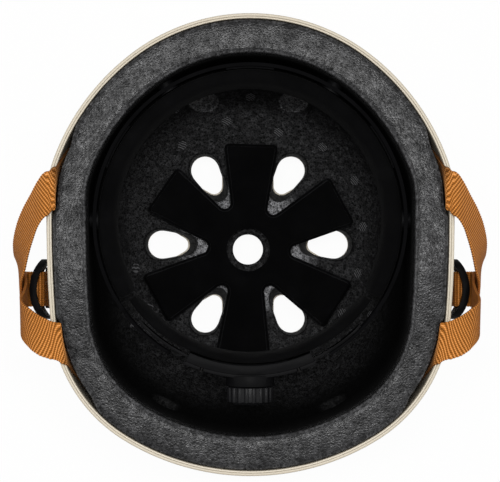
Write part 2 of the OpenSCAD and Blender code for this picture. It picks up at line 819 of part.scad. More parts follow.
// Points between hand-set stations on a smooth curve
function glide(a, b, c, d, t) =
    ((2 * b) + (c - a) * t + (2 * a - 5 * b + 4 * c - d) * t * t + (3 * b - a - 3 * c + d) * t * t * t) / 2;
function smooth(s, n) =
    let (m = len(s) - 1)
    concat([for (i = [0 : m - 1], j = [0 : n - 1])
        let (t = j / n, a = s[max(i - 1, 0)], b = s[i], c = s[i + 1], d = s[min(i + 2, m)])
        [glide(a[0], b[0], c[0], d[0], t), glide(a[1], b[1], c[1], d[1], t)]], [s[m]]);

// The line that a side's straps swing about
function fold_pt(y) = let (p = outline_pt(side_angle(y), web_gap_mid)) [p[0], p[1], fold_z(y)];
fold_front = fold_pt(front_strap_y);
fold_rear = fold_pt(rear_strap_y);
fold_dir = unit(fold_front - fold_rear);

// Strap routes, from the fold over the lip down to the divider's slots. A station is the distance
// outside the widest wall, the place along the helmet and the share of the way up from slot to fold.
function stations(slot_z, fold, places) =
    [for (q = places) [[half_w + q[0][0], q[0][1], slot_z + q[0][2] * (fold[2] - slot_z)], q[1]]];
front_slot_z = divider_z - divider_h / 4 + 1.1;
rear_slot_z = divider_z + divider_h / 4 - 1.1;
front_route = concat([[fold_front, fold_dir]], stations(front_slot_z, fold_front, [
    [[-0.8, 27.8, 0.999], [0.1, 0.99, 0]],
    [[2.6, 24.6, 0.98], [0.22, 0.9, -0.35]],
    [[6, 19.8, 0.94], [0.34, 0.73, -0.59]],
    [[9.6, 14, 0.885], [0.44, 0.56, -0.7]],
    [[12.8, 6.9, 0.81], [0.5, 0.42, -0.75]],
    [[15.6, -1.5, 0.71], [0.48, 0.32, -0.82]],
    [[17.2, -9.5, 0.585], [0.36, 0.34, -0.87]],
    [[18.2, -16, 0.44], [0.15, 0.52, -0.84]],
    [[18.6, -21, 0.31], [0.08, 0.78, -0.62]],
    [[18.9, -24.2, 0.19], [0, 0.95, -0.3]],
    [[18.6, -25.3, 0.085], [0, 1, -0.05]],
    [[16.4, divider_y, 0.02], [0, 1, 0]],
    [[13, divider_y, 0], [0, 1, 0]],
    [[10.2, divider_y, -0.002], [0, 1, 0]],
    [[8.4, divider_y, -0.004], [0, 1, 0]]]));
rear_route = concat([[fold_rear, fold_dir]], stations(rear_slot_z, fold_rear, [
    [[-1.6, -51.3, 1.005], [0.06, 1, 0]],
    [[4.1, -48.9, 0.992], [0.06, 0.99, 0.05]],
    [[9.4, -45.4, 0.942], [0.03, 0.99, 0.08]],
    [[13.6, -41.8, 0.83], [0, 0.99, 0.14]],
    [[15.2, -38.4, 0.666], [0, 0.97, 0.25]],
    [[14.6, -34.3, 0.467], [0, 0.94, 0.3]],
    [[14.9, -30, 0.277], [0, 0.95, 0.3]],
    [[16.2, -26.8, 0.125], [0, 0.98, 0.2]],
    [[15.9, -25.6, 0.046], [0, 1, 0.05]],
    [[13.2, divider_y, 0.004], [0, 1, 0]],
    [[10.2, divider_y, 0], [0, 1, 0]],
    [[8, divider_y, -0.012], [0, 1, 0]],
    [[7, divider_y, -0.044], [0, 1, 0]],
    [[6.8, divider_y, -0.088], [0, 1, 0]],
    [[6.6, divider_y, -0.127], [0, 1, 0]]]));
loop_r = bar_r + 0.4 + web_t / 2;
chin_route = concat(
    [for (q = [[6.5, 86.2], [5.2, 80], [4.8, 73], [6, 66], [6.8, 57], [7.6, 48], [8.4, 39],
               [9.2, 30], [9.9, 22], [10.5, 13]])
        [[half_w + q[0], divider_y, q[1]], [0, 1, 0]]],
    [[[bar_x + loop_r, divider_y, bar_z + 3], [0, 1, 0]]],
    [for (a = [0 : 22.5 : 180])
        [[bar_x + loop_r * cos(a), divider_y, bar_z - loop_r * sin(a)], [0, 1, 0]]],
    [for (q = [[4.5, 9.5], [5.8, 14], [7.2, 20], [7.2, 30]])
        [[half_w + q[0], divider_y, q[1]], [0, 1, 0]]]);

module front_strap(side) {
    color(web_colour) mirrored(side) ribbon(smooth(front_route, 3));
}

module rear_strap(side) {
    color(web_colour) mirrored(side) ribbon(smooth(rear_route, 3));
}

module chin_strap(side) {
    color(web_colour) mirrored(side) ribbon(chin_route);
}

// Rounded plate outline of the divider, length by height
module divider_outline(len, h, r) {
    square([len, h - 2 * r], center = true);
    square([len - 2 * r, h], center = true);
    for (s = [-1, 1], t = [-1, 1]) translate([s * (len / 2 - r), t * (h / 2 - r)]) circle(r = r);
}

module divider(side) {
    bow_x = divider_out - divider_bow;
    slot_l = web_w + 2;
    slot_h = (divider_h - 10) / 2;
    color("black")
        mirrored(side)
            intersection() {
                translate([bow_x, divider_y, divider_z - divider_h / 2])
                    difference() {
                        cylinder(r = divider_bow, h = divider_h, $fn = 96);
                        translate([0, 0, -1])
                            cylinder(r = divider_bow - divider_wall, h = divider_h + 2, $fn = 96);
                    }
                translate([bow_x, divider_y, divider_z]) rotate([90, 0, 90]) linear_extrude(divider_bow + 2)
                    difference() {
                        divider_outline(divider_len, divider_h, 7);
                        for (s = [-1, 1])
                            translate([0, s * (slot_h / 2 + 1.4)]) divider_outline(slot_l, slot_h, 1.5);
                    }
            }
}

// Buckle halves lie on the floor, pointing inwards from their pivot bars
module buckle_bar(x0) {
    translate([bar_x, divider_y, bar_z])
        rotate([90, 0, 0]) cylinder(r = bar_r, h = buckle_w - 1, center = true);
    for (s = [-1, 1])
        translate([bar_x, divider_y + s * (buckle_w / 2 - 1.4), bar_z]) {
            rotate([90, 0, 0]) cylinder(r = 3.2, h = 2.8, center = true);
            translate([-(bar_x - x0), -1.4, -3.2]) cube([bar_x - x0, 2.8, 6.4]);
        }
}

body_start = bar_x - bar_reach;

// Chamfered body of a buckle half, from x0 outwards
module buckle_body(x0, depth) {
    w = buckle_w;
    t = buckle_t;
    c = buckle_edge;
    translate([x0, divider_y - w / 2, bar_z - t / 2])
        rotate([0, 90, 0]) mirror([1, 0, 0])
            linear_extrude(depth)
                polygon([[c, 0], [t - c, 0], [t, c], [t, w - c], [t - c, w], [c, w], [0, w - c], [0, c]]);
}

module buckle_socket() {
    depth = socket_len - bar_reach;
    mid = body_start - depth / 2;
    color("black")
        difference() {
            union() {
                buckle_bar(body_start - 2);
                buckle_body(body_start - depth, depth);
            }
            translate([body_start - depth - 1, divider_y - buckle_w / 2 + 2.4,
                       bar_z - buckle_t / 2 + socket_wall])
                cube([depth - 1, buckle_w - 4.8, buckle_t - 2 * socket_wall]);
            for (s = [-1, 1])
                translate([mid + 1, divider_y + s * buckle_w / 2, bar_z])
                    cube([10, 8, buckle_t - 2 * socket_wall + eps], center = true);
        }
}

module prong(s) {
    translate([body_start - prong_body, divider_y + s * (buckle_w / 2 - 5.4), bar_z - 2.4])
        linear_extrude(4.8)
            polygon([[1, 0], [-prong_len + 8, s * 0.6], [-prong_len + 6.5, s * 4.6], [-prong_len + 1, s * 3],
                     [-prong_len - 1, -s * 0.6], [-prong_len + 2, -s * 2.2], [-2, -s * 2.2], [1, -s * 2.2]]);
}

module buckle_prongs() {
    color("black")
        mirror([1, 0, 0]) {
            buckle_bar(body_start - 2);
            buckle_body(body_start - prong_body, prong_body);
            for (s = [-1, 1]) prong(s);
            translate([body_start - prong_body - prong_len * 0.7, divider_y - 2.2, bar_z - 1.6])
                cube([prong_len * 0.7 + 1, 4.4, 3.2]);
        }
}

// Rubber keeper round the right chin strap
keeper_at = [half_w + 7.2, divider_y, 52.5];
keeper_lean = atan(0.8 / 9);
module strap_keeper() {
    color("black")
        mirror([1, 0, 0])
            translate(keeper_at) rotate([0, -keeper_lean, 0])
                difference() {
                    cube([web_t + 3.6, web_w + 4, 7], center = true);
                    cube([web_t + 0.7, web_w + 0.8, 9], center = true);
                }
}

outer_shell();
foam_liner();
strap_rivets();
rivet_washers();
anchor_web(1, front_strap_y, front_rivet_y);  // left_front_anchor_web
anchor_web(-1, front_strap_y, front_rivet_y);  // right_front_anchor_web
anchor_web(1, rear_strap_y, rear_rivet_y);  // left_rear_anchor_web
anchor_web(-1, rear_strap_y, rear_rivet_y);  // right_rear_anchor_web
head_ring();
ring_plugs();
brow_pad();
nape_pad();
pad_hook_strips();
crown_pad();
crown_hook_dots();
dial_base();
dial_cover();
cover_screws();
click_spring();
dial_knob();
dial_pinion();
dial_screw();
left_rack_arm();
right_rack_arm();
front_strap(1);  // left_front_strap
front_strap(-1);  // right_front_strap
rear_strap(1);  // left_rear_strap
rear_strap(-1);  // right_rear_strap
divider(1);  // left_divider
divider(-1);  // right_divider
chin_strap(1);  // left_chin_strap
chin_strap(-1);  // right_chin_strap
buckle_socket();
buckle_prongs();
strap_keeper();
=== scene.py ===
"""Looks of a skate helmet that lies on its crown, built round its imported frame. Metres, +Z up."""
import math

import bmesh
import bpy
from bpy.props import FloatProperty, FloatVectorProperty, IntProperty, PointerProperty
from bpy.types import Operator, Panel, PropertyGroup
from mathutils import Matrix, Vector
from mathutils.bvhtree import BVHTree


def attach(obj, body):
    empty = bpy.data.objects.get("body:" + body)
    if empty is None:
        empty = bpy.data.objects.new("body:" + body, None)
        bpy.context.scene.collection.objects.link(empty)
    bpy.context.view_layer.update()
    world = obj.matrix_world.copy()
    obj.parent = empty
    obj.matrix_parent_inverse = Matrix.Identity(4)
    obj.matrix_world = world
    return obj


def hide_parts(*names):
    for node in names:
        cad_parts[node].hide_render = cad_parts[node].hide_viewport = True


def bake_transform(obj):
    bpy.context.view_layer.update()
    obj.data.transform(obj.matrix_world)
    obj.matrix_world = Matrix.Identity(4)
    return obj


bl_info = {
    "name": "Skate Helmet",
    "version": (1, 0, 0),
    "blender": (4, 5, 0),
    "location": "View3D > Sidebar > Helmet",
    "description": "Dresses the packed skate helmet piece by piece",
    "category": "Mesh",
}

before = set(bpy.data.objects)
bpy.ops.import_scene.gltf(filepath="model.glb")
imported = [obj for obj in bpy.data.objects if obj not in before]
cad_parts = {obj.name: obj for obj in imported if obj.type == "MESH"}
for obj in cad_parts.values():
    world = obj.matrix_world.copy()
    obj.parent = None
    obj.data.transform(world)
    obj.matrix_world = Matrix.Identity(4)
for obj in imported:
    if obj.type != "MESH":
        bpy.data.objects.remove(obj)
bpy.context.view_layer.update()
MM = 0.001


def measure(name, description, default):
    """A length that the user may change."""
    return FloatProperty(name=name, description=description, default=default, unit="LENGTH")


def tint(name, description, default):
    """A colour that the user may change, in linear light."""
    return FloatVectorProperty(name=name, description=description, default=default, subtype="COLOR")


class ShellSizes(PropertyGroup):
    """The outline, section and rim of the outer shell."""

    half_width: measure("Half width", "Half the width over the ears", 0.110)
    front_length: measure("Front length", "From the middle to the brow edge", 0.125)
    rear_length: measure("Rear length", "From the middle to the nape edge", 0.125)
    wide_at: measure("Widest at", "How far from the middle the straight sides end", 0.025)
    brow_corner: measure("Brow corner", "Radius of the brow corners", 0.127)
    nape_corner: measure("Nape corner", "Radius of the nape corners", 0.083)
    wall: measure("Wall", "Thickness of the shell", 0.0024)
    waist_height: measure("Waist height", "Where the dome turns into the side wall", 0.096)
    crown_flat: measure("Crown flat", "Radius of the flat that the helmet lies on", 0.020)
    dome_power: FloatProperty(
        name="Dome power", description="Exponent of the dome's section", default=2.2
    )
    crown_back: measure("Crown set back", "How far the crown lies towards the nape", 0.003)


class VentSizes(PropertyGroup):
    """The vents through shell and liner."""

    count: IntProperty(name="Crown vents", description="Vents round the crown", default=6, min=3)
    ring_radius: measure("Ring radius", "Circle of the crown vents' wide ends", 0.0523)
    wide_radius: measure("Wide end", "Radius of a crown vent's wide end", 0.008)
    tip_radius: measure("Narrow end", "Radius of a crown vent's narrow end", 0.0044)
    middle_radius: measure("Middle", "Radius of a crown vent half way", 0.0071)
    length: measure("Length", "Between the centres of a vent's ends", 0.0106)
    hub_radius: measure("Middle vent", "Radius of the vent in the crown's middle", 0.0093)
    funnel: measure("Funnel", "How far the liner's tunnels widen towards the crown's middle", 0.0095)
    flare: measure("Flare", "How much the liner's tunnels widen all round, 25 mm above the foam", 0.0018)
    hole_extra: measure("Hole extra", "How much wider the shell's holes are than the tunnels", 0.0006)
    side_half_width: measure("Side vent half width", "Half the width of a brow or nape vent", 0.009)
    side_half_height: measure("Side vent half height", "Half the height of a brow or nape vent", 0.007)


class LinerSizes(PropertyGroup):
    """The foam liner inside the shell."""

    gap: measure("Gap", "Clearance between shell and liner", 0.0003)
    rim_thickness: measure("Rim thickness", "Foam thickness at the rim", 0.0185)
    crown_thickness: measure("Crown thickness", "Foam thickness at the crown", 0.022)
    drop: measure("Drop", "How far the liner's rim lies below the lip", 0.0008)
    inner_round: measure("Inner rounding", "Rounding of the inner rim edge", 0.003)
    pocket: measure("Strap pocket", "How far the foam stands back where the webbing goes in", 0.0026)
    voxel: measure("Foam detail", "Size of the cells the foam's mesh is made of", 0.0017)


class WebbingSizes(PropertyGroup):
    """The woven straps."""

    width: measure("Width", "Width of the webbing", 0.020)
    thickness: measure("Thickness", "Thickness of the webbing", 0.0016)
    rib_pitch: measure("Rib pitch", "From one cross rib to the next", 0.0016)
    rib_height: measure("Rib height", "How far a cross rib stands proud", 0.0003)
    scallop: measure("Scallop", "How far the selvedge draws in between two ribs", 0.00025)
    rivet_rise: measure("Rivet rise", "Height of the rivets above the waist", 0.009)


class PadSizes(PropertyGroup):
    """How the pads are meshed and how they swell."""

    ring_voxel: measure("Ring pad detail", "Size of the cells of the ring pads' meshes", 0.0027)
    star_voxel: measure("Star pad detail", "Size of the cells of the crown pad's mesh", 0.0009)
    shrink: measure("Shrink", "How much smaller a pad is before it swells", 0.0004)
    cap: measure("Cap", "How far a point may move as the pad swells", 0.0009)
    pressure: FloatProperty(name="Pressure", description="Air pressure inside a pad", default=4.0)
    frames: IntProperty(name="Steps", description="Steps of the swelling", default=20, min=1)


class HelmetColours(PropertyGroup):
    """The colours of the finishes, in linear light."""

    shell: tint("Shell", "Cream lacquer", (0.53, 0.47, 0.37))
    webbing: tint("Webbing", "Orange brown yarn", (0.54, 0.185, 0.022))
    foam: tint("Foam", "Black foam beads", (0.019, 0.019, 0.0197))
    plastic: tint("Plastic", "Moulded black plastic", (0.0028, 0.0028, 0.0031))
    pads: tint("Pads", "Brushed black cloth", (0.0024, 0.0024, 0.0026))


class StageSettings(PropertyGroup):
    """The camera and the light."""

    camera_height: measure("Camera height", "Height of the camera over the floor", 1.147)
    camera_right: measure("Camera right", "How far the camera stands to the wearer's right", 0.0117)
    camera_back: measure("Camera back", "How far the camera stands towards the nape", 0.003)
    lens: FloatProperty(name="Lens", description="Focal length in millimetres", default=133.6)
    key_power: FloatProperty(
        name="Key light", description="Power of the overhead light in watts", default=30.0
    )
    sky: FloatProperty(name="Sky", description="Strength of the even light all round", default=0.35)


def only(piece):
    """Selects one piece and nothing else."""
    bpy.ops.object.select_all(action="DESELECT")
    piece.select_set(True)
    bpy.context.view_layer.objects.active = piece
    return piece


def new_piece(name, bm):
    """A mesh object from a bmesh, faces pointing outwards."""
    bmesh.ops.recalc_face_normals(bm, faces=bm.faces)
    mesh = bpy.data.meshes.new(name)
    bm.to_mesh(mesh)
    bm.free()
    piece = bpy.data.objects.new(name, mesh)
    bpy.context.scene.collection.objects.link(piece)
    return piece


def apply_modifiers(piece):
    only(piece)
    for modifier in list(piece.modifiers):
        bpy.ops.object.modifier_apply(modifier=modifier.name)


def smooth_by_angle(piece, angle):
    only(piece)
    bpy.ops.object.shade_smooth_by_angle(angle=math.radians(angle))


def round_edges(piece, radius, segments, angle):
    """Rounds the edges sharper than an angle, as moulded ones are."""
    modifier = piece.modifiers.new("Edges", "BEVEL")
    modifier.width = radius
    modifier.segments = segments
    modifier.limit_method = "ANGLE"
    modifier.angle_limit = math.radians(angle)
    modifier.use_clamp_overlap = True
    apply_modifiers(piece)


def add_relax(piece, rounds):
    """Draws each point towards its neighbours, by as many rounds."""
    modifier = piece.modifiers.new("Relax", "SMOOTH")
    modifier.factor = 0.5
    modifier.iterations = rounds


def remeshed(piece, voxel, rounds):
    """The piece with an even mesh, relaxed and shaded smooth."""
    only(piece).data.remesh_voxel_size = voxel
    bpy.ops.object.voxel_remesh()
    add_relax(piece, rounds)
    apply_modifiers(piece)
    bpy.ops.object.shade_smooth()
    return piece


def join(pieces, name):
    """One object from several."""
    bpy.ops.object.select_all(action="DESELECT")
    for piece in pieces:
        piece.select_set(True)
    bpy.context.view_layer.objects.active = pieces[0]
    bpy.ops.object.join()
    joined = bpy.context.view_layer.objects.active
    joined.name = name
    bpy.ops.object.transform_apply(location=True, rotation=True, scale=True)
    return joined


def dress(piece, body, material, slot, *nodes):
    """Gives a finished piece its finish, its body and the nodes that it stands for."""
    piece.data.materials.clear()
    piece.data.materials.append(material)
    if body:
        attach(piece, body)
    if nodes:
        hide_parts(*nodes)


# Outline, rim and dome


# Angles of the outline's normal from straight sideways, in degrees, where the side and the corner
# arc meet, and where the corner and the end arc meet
BROW_TURNS = (20.5, 52.6)
NAPE_TURNS = (4, 58.3)


def end_arcs(sizes, ahead):
    """The side, corner and end arcs of one end of the outline, and the angles where they meet."""
    half = sizes.half_width
    wide = sizes.wide_at if ahead else -sizes.wide_at
    length = sizes.front_length if ahead else sizes.rear_length
    radius = sizes.brow_corner if ahead else sizes.nape_corner
    start, turn = [math.radians(a) for a in (BROW_TURNS if ahead else NAPE_TURNS)]
    share = (1 - math.sin(turn)) / math.cos(turn)
    reach = (length - wide - radius - share * (half - radius)) / (
        math.sin(start) - share * (1 - math.cos(start))
    )
    side = Vector((half - radius - reach, wide))
    corner = side + reach * Vector((math.cos(start), math.sin(start)))
    end_radius = radius + corner.x / math.cos(turn)
    end = Vector((0, length - end_radius))
    return [(side, radius + reach), (corner, radius), (end, end_radius)], (start, turn)


def outline_point(sizes, angle, inset):
    """Point of the outline where its normal has that angle from +X."""
    arcs, turns = end_arcs(sizes, angle >= 0)
    size = abs(angle)
    centre, radius = arcs[0] if size < turns[0] else arcs[1] if size < turns[1] else arcs[2]
    point = centre + (radius - inset) * Vector((math.cos(size), math.sin(size)))
    return Vector((point.x, math.copysign(1, angle) * point.y if angle else point.y))


def normal_angles():
    """Normal angles from the nape to the brow, spread over the arcs by their length."""
    stops = ((-90, 18), (-NAPE_TURNS[1], 24), (-NAPE_TURNS[0], 18), (0, 12), (BROW_TURNS[0], 18),
             (BROW_TURNS[1], 18), (90, 0))
    angles = []
    for (low, steps), (high, _) in zip(stops, stops[1:]):
        angles += [math.radians(low + (high - low) * i / steps) for i in range(steps)]
    return angles


def outline(sizes, inset):
    """The closed outline at an inset, anticlockwise from the nape."""
    half = [outline_point(sizes, angle, inset) for angle in normal_angles()]
    brow = outline_point(sizes, math.radians(90), inset)
    return half + [Vector((-p.x, p.y)) for p in [brow] + half[:0:-1]]


# Places along the helmet and the rim's height there, in millimetres
RIM_PLACES = ((-125, 146.5), (-60, 146), (-17, 148), (45, 143.5), (125, 141))


def between(table, value):
    """Straight interpolation in a table of pairs."""
    if value <= table[0][0]:
        return table[0][1]
    for (low, a), (high, b) in zip(table, table[1:]):
        if value <= high:
            return a + (b - a) * (value - low) / (high - low)
    return table[-1][1]


def rim_height(y):
    """Height of the rim, averaged over 18 mm along the helmet so that it bends softly."""
    steps = [between(RIM_PLACES, y / MM + 2.25 * i) for i in range(-4, 5)]
    return sum(steps) / len(steps) * MM


def dome_angles(sizes, steps):
    first = math.asin((sizes.crown_flat / sizes.half_width) ** (sizes.dome_power / 2))
    return [first + (math.pi / 2 - first) * i / steps for i in range(steps + 1)]


def dome_ring(sizes, turn, first, inset, apex):
    """Ring of the dome between the crown's flat and the waist."""
    power = 2 / sizes.dome_power

    def rise(angle):
        return 1 - max(0.0, math.cos(angle)) ** power

    share = math.sin(turn) ** power
    height = apex + (sizes.waist_height - apex) * (rise(turn) - rise(first)) / (1 - rise(first))
    back = -sizes.crown_back
    return [
        Vector((p.x * share, back + (p.y - back) * share, height)) for p in outline(sizes, inset)
    ]


def dome_rings(sizes, inset, apex, steps):
    turns = dome_angles(sizes, steps)
    return [dome_ring(sizes, turn, turns[0], inset, apex) for turn in turns]


def wall_ring(sizes, inset, share, drop=0.0):
    """Ring of the upright wall: share is 0 at the waist and 1 at the rim."""
    waist = sizes.waist_height
    return [
        Vector((p.x, p.y, waist + (rim_height(p.y) - drop - waist) * share))
        for p in outline(sizes, inset)
    ]


def lip_ring(sizes, inset, below):
    return [Vector((p.x, p.y, rim_height(p.y) - below)) for p in outline(sizes, inset)]


def loft(name, rings):
    """Closed solid through rings of equal length."""
    bm = bmesh.new()
    loops = [[bm.verts.new(point) for point in ring] for ring in rings]
    for low, high in zip(loops, loops[1:]):
        for i in range(len(low)):
            j = (i + 1) % len(low)
            bm.faces.new((low[i], low[j], high[j], high[i]))
    bm.faces.new(loops[0])
    bm.faces.new(loops[-1][::-1])
    return new_piece(name, bm)


# Vents


def rod(start, end, radius, sides=40):
    """Cylinder between two points."""
    start, end = Vector(start), Vector(end)
    along = end - start
    bpy.ops.mesh.primitive_cylinder_add(
        vertices=sides, radius=radius, depth=along.length, location=(start + end) / 2,
        rotation=along.to_track_quat("Z", "Y").to_euler(),
    )
    return bpy.context.active_object


def hull(rods, name):
    """One convex solid round several rods."""
    piece = join([rod(*each) for each in rods], name)
    bpy.ops.object.mode_set(mode="EDIT")
    bpy.ops.mesh.select_all(action="SELECT")
    bpy.ops.mesh.convex_hull()
    bpy.ops.object.mode_set(mode="OBJECT")
    return piece


def turned_copies(piece, count):
    """The piece and its copies at even steps round the helmet's middle."""
    copies = [piece]
    for i in range(1, count):
        mesh = piece.data.copy()
        mesh.transform(Matrix.Rotation(2 * math.pi * i / count, 4, "Z"))
        copy = bpy.data.objects.new(piece.name, mesh)
        bpy.context.scene.collection.objects.link(copy)
        copies.append(copy)
    return copies


def side_vent_rods(vents, start, turn, lean, extra, depth):
    """Two rods side by side that run outwards through the wall."""
    way = Vector((math.cos(turn) * math.cos(lean), math.sin(turn) * math.cos(lean), -math.sin(lean)))
    across = Vector((-math.sin(turn), math.cos(turn), 0))
    spread = vents.side_half_width - vents.side_half_height
    radius = vents.side_half_height + extra
    return [
        (start + across * spread * s, start + across * spread * s + way * depth, radius)
        for s in (-1, 1)
    ]


# Brow and nape vents: name, 1 ahead or -1 behind, distances from the middle, from the end and from
# the floor in millimetres, turn to the side and lean in degrees, and length in millimetres
SIDE_VENTS = (
    ("brow_cutter", 1, 24, 60, 68, 12, 38, 90),
    ("nape_cutter", -1, 30, 55, 84, 40, 4, 70),
)


def vent_cutters(shell, vents, extra, funnel, flare):
    """All the vents as one object to cut with."""
    wide, tip = vents.wide_radius + extra, vents.tip_radius + extra
    middle = vents.middle_radius + extra
    ring, narrow = vents.ring_radius, vents.ring_radius - vents.length
    top = shell.waist_height / 2
    crown = hull(
        [
            ((ring, 0, -MM), (ring, 0, 9 * MM), wide),
            (((ring + narrow) / 2, 0, -MM), ((ring + narrow) / 2, 0, 8 * MM), middle),
            ((narrow, 0, -MM), (narrow, 0, 7 * MM), tip),
            ((ring, 0, top - 4 * MM), (ring, 0, top + 6 * MM), wide + flare),
            ((narrow - funnel, 0, top - 4 * MM), (narrow - funnel, 0, top + 6 * MM), tip + flare),
        ],
        "vent_cutter",
    )
    cutters = turned_copies(crown, vents.count)
    back = -shell.crown_back
    cutters.append(rod((0, back, -MM), (0, back, 40 * MM), vents.hub_radius + extra, 64))
    for side in (-1, 1):
        for name, end, out, back, up, turn, lean, depth in SIDE_VENTS:
            length = shell.front_length if end > 0 else shell.rear_length
            start = Vector((side * out * MM, end * (length - back * MM), up * MM))
            rods = side_vent_rods(vents, start, math.radians(end * (90 - side * turn)),
                                  math.radians(lean), extra, depth * MM)
            cutters.append(hull(rods, name))
    return join(cutters, "vent_cutters")


def cut(piece, cutter):
    modifier = piece.modifiers.new("Cut", "BOOLEAN")
    modifier.operation = "DIFFERENCE"
    modifier.solver = "EXACT"
    modifier.object = cutter
    apply_modifiers(piece)
    bpy.data.objects.remove(cutter)
    return piece


# Finishes


def finish_of(name, **sockets):
    """A principled material whose even values are set on the shader's own sockets."""
    material = bpy.data.materials.new(name)
    material.use_nodes = True
    shader = material.node_tree.nodes["Principled BSDF"]
    for socket, value in sockets.items():
        shader.inputs[socket.replace("_", " ")].default_value = value
    return material, material.node_tree, shader


def texture(tree, kind, vector, **settings):
    """A texture node on a coordinate, with its sockets and choices set."""
    node = tree.nodes.new("ShaderNodeTex" + kind)
    for key, value in settings.items():
        if key in node.inputs:
            node.inputs[key].default_value = value
        else:
            setattr(node, key, value)
    tree.links.new(vector, node.inputs["Vector"])
    return node


def coordinates(tree, output="Object"):
    return tree.nodes.new("ShaderNodeTexCoord").outputs[output]


def ramp(tree, factor, stops):
    """Colour ramp over (place, colour) stops."""
    node = tree.nodes.new("ShaderNodeValToRGB")
    while len(node.color_ramp.elements) < len(stops):
        node.color_ramp.elements.new(0.5)
    for element, (place, colour) in zip(node.color_ramp.elements, stops):
        element.position = place
        element.color = (*colour, 1)
    tree.links.new(factor, node.inputs["Fac"])
    return node.outputs["Color"]


def ranged(tree, factor, low, high, start=0.0, end=1.0):
    """Maps start to end onto low to high."""
    node = tree.nodes.new("ShaderNodeMapRange")
    node.inputs["From Min"].default_value = start
    node.inputs["From Max"].default_value = end
    node.inputs["To Min"].default_value = low
    node.inputs["To Max"].default_value = high
    tree.links.new(factor, node.inputs["Value"])
    return node.outputs["Result"]


def combined(tree, operation, first, second):
    """Arithmetic on two values, the second a socket or a number."""
    node = tree.nodes.new("ShaderNodeMath")
    node.operation = operation
    tree.links.new(first, node.inputs[0])
    if isinstance(second, float):
        node.inputs[1].default_value = second
    else:
        tree.links.new(second, node.inputs[1])
    return node.outputs["Value"]


def axis_of(tree, vector, axis="Z"):
    node = tree.nodes.new("ShaderNodeSeparateXYZ")
    tree.links.new(vector, node.inputs["Vector"])
    return node.outputs[axis]


def upright(tree):
    """How far the surface faces upwards: 1 on a level one and 0 on a wall."""
    return axis_of(tree, tree.nodes.new("ShaderNodeNewGeometry").outputs["Normal"])


def distance_from(tree, place, x, y, stretch=1.0):
    """Distance from an upright axis, which counts more along Y where it is stretched."""
    flat = tree.nodes.new("ShaderNodeVectorMath")
    flat.operation = "MULTIPLY_ADD"
    flat.inputs[1].default_value = (1, stretch, 0)
    flat.inputs[2].default_value = (-x, -y * stretch, 0)
    tree.links.new(place, flat.inputs[0])
    length = tree.nodes.new("ShaderNodeVectorMath")
    length.operation = "LENGTH"
    tree.links.new(flat.outputs["Vector"], length.inputs[0])
    return length.outputs["Value"]


def bump(tree, shader, height, strength, distance, below=None):
    node = tree.nodes.new("ShaderNodeBump")
    node.inputs["Strength"].default_value = strength
    node.inputs["Distance"].default_value = distance
    tree.links.new(height, node.inputs["Height"])
    if below:
        tree.links.new(below, node.inputs["Normal"])
    tree.links.new(node.outputs["Normal"], shader.inputs["Normal"])
    return node.outputs["Normal"]


def shade(colour, factor):
    return tuple(channel * factor for channel in colour)


def mixed(tree, blend, factor, first, second):
    node = tree.nodes.new("ShaderNodeMix")
    node.data_type = "RGBA"
    node.blend_type = blend
    node.inputs["Factor"].default_value = factor
    tree.links.new(first, node.inputs["A"])
    tree.links.new(second, node.inputs["B"])
    return node.outputs["Result"]


def shell_lacquer(colours):
    """Cream satin lacquer with a faint orange peel and slight yellowing in clouds."""
    material, tree, shader = finish_of(
        "cream_lacquer", Coat_Weight=0.15, Coat_Roughness=0.35, Specular_IOR_Level=0.4)
    place = coordinates(tree)
    clouds = texture(tree, "Noise", place, Scale=18.0, Detail=4.0, Roughness=0.6)
    peel = texture(tree, "Noise", place, Scale=420.0, Detail=2.0)
    cream = colours.shell
    colour = ramp(tree, clouds.outputs["Fac"], (
        (0.3, shade(cream, 0.95)), (0.55, cream), (0.75, (cream[0] * 1.02, cream[1] * 1.02, cream[2]))))
    tree.links.new(colour, shader.inputs["Base Color"])
    tree.links.new(ranged(tree, clouds.outputs["Fac"], 0.36, 0.5), shader.inputs["Roughness"])
    bump(tree, shader, peel.outputs["Fac"], 0.03, 0.0001)
    return material


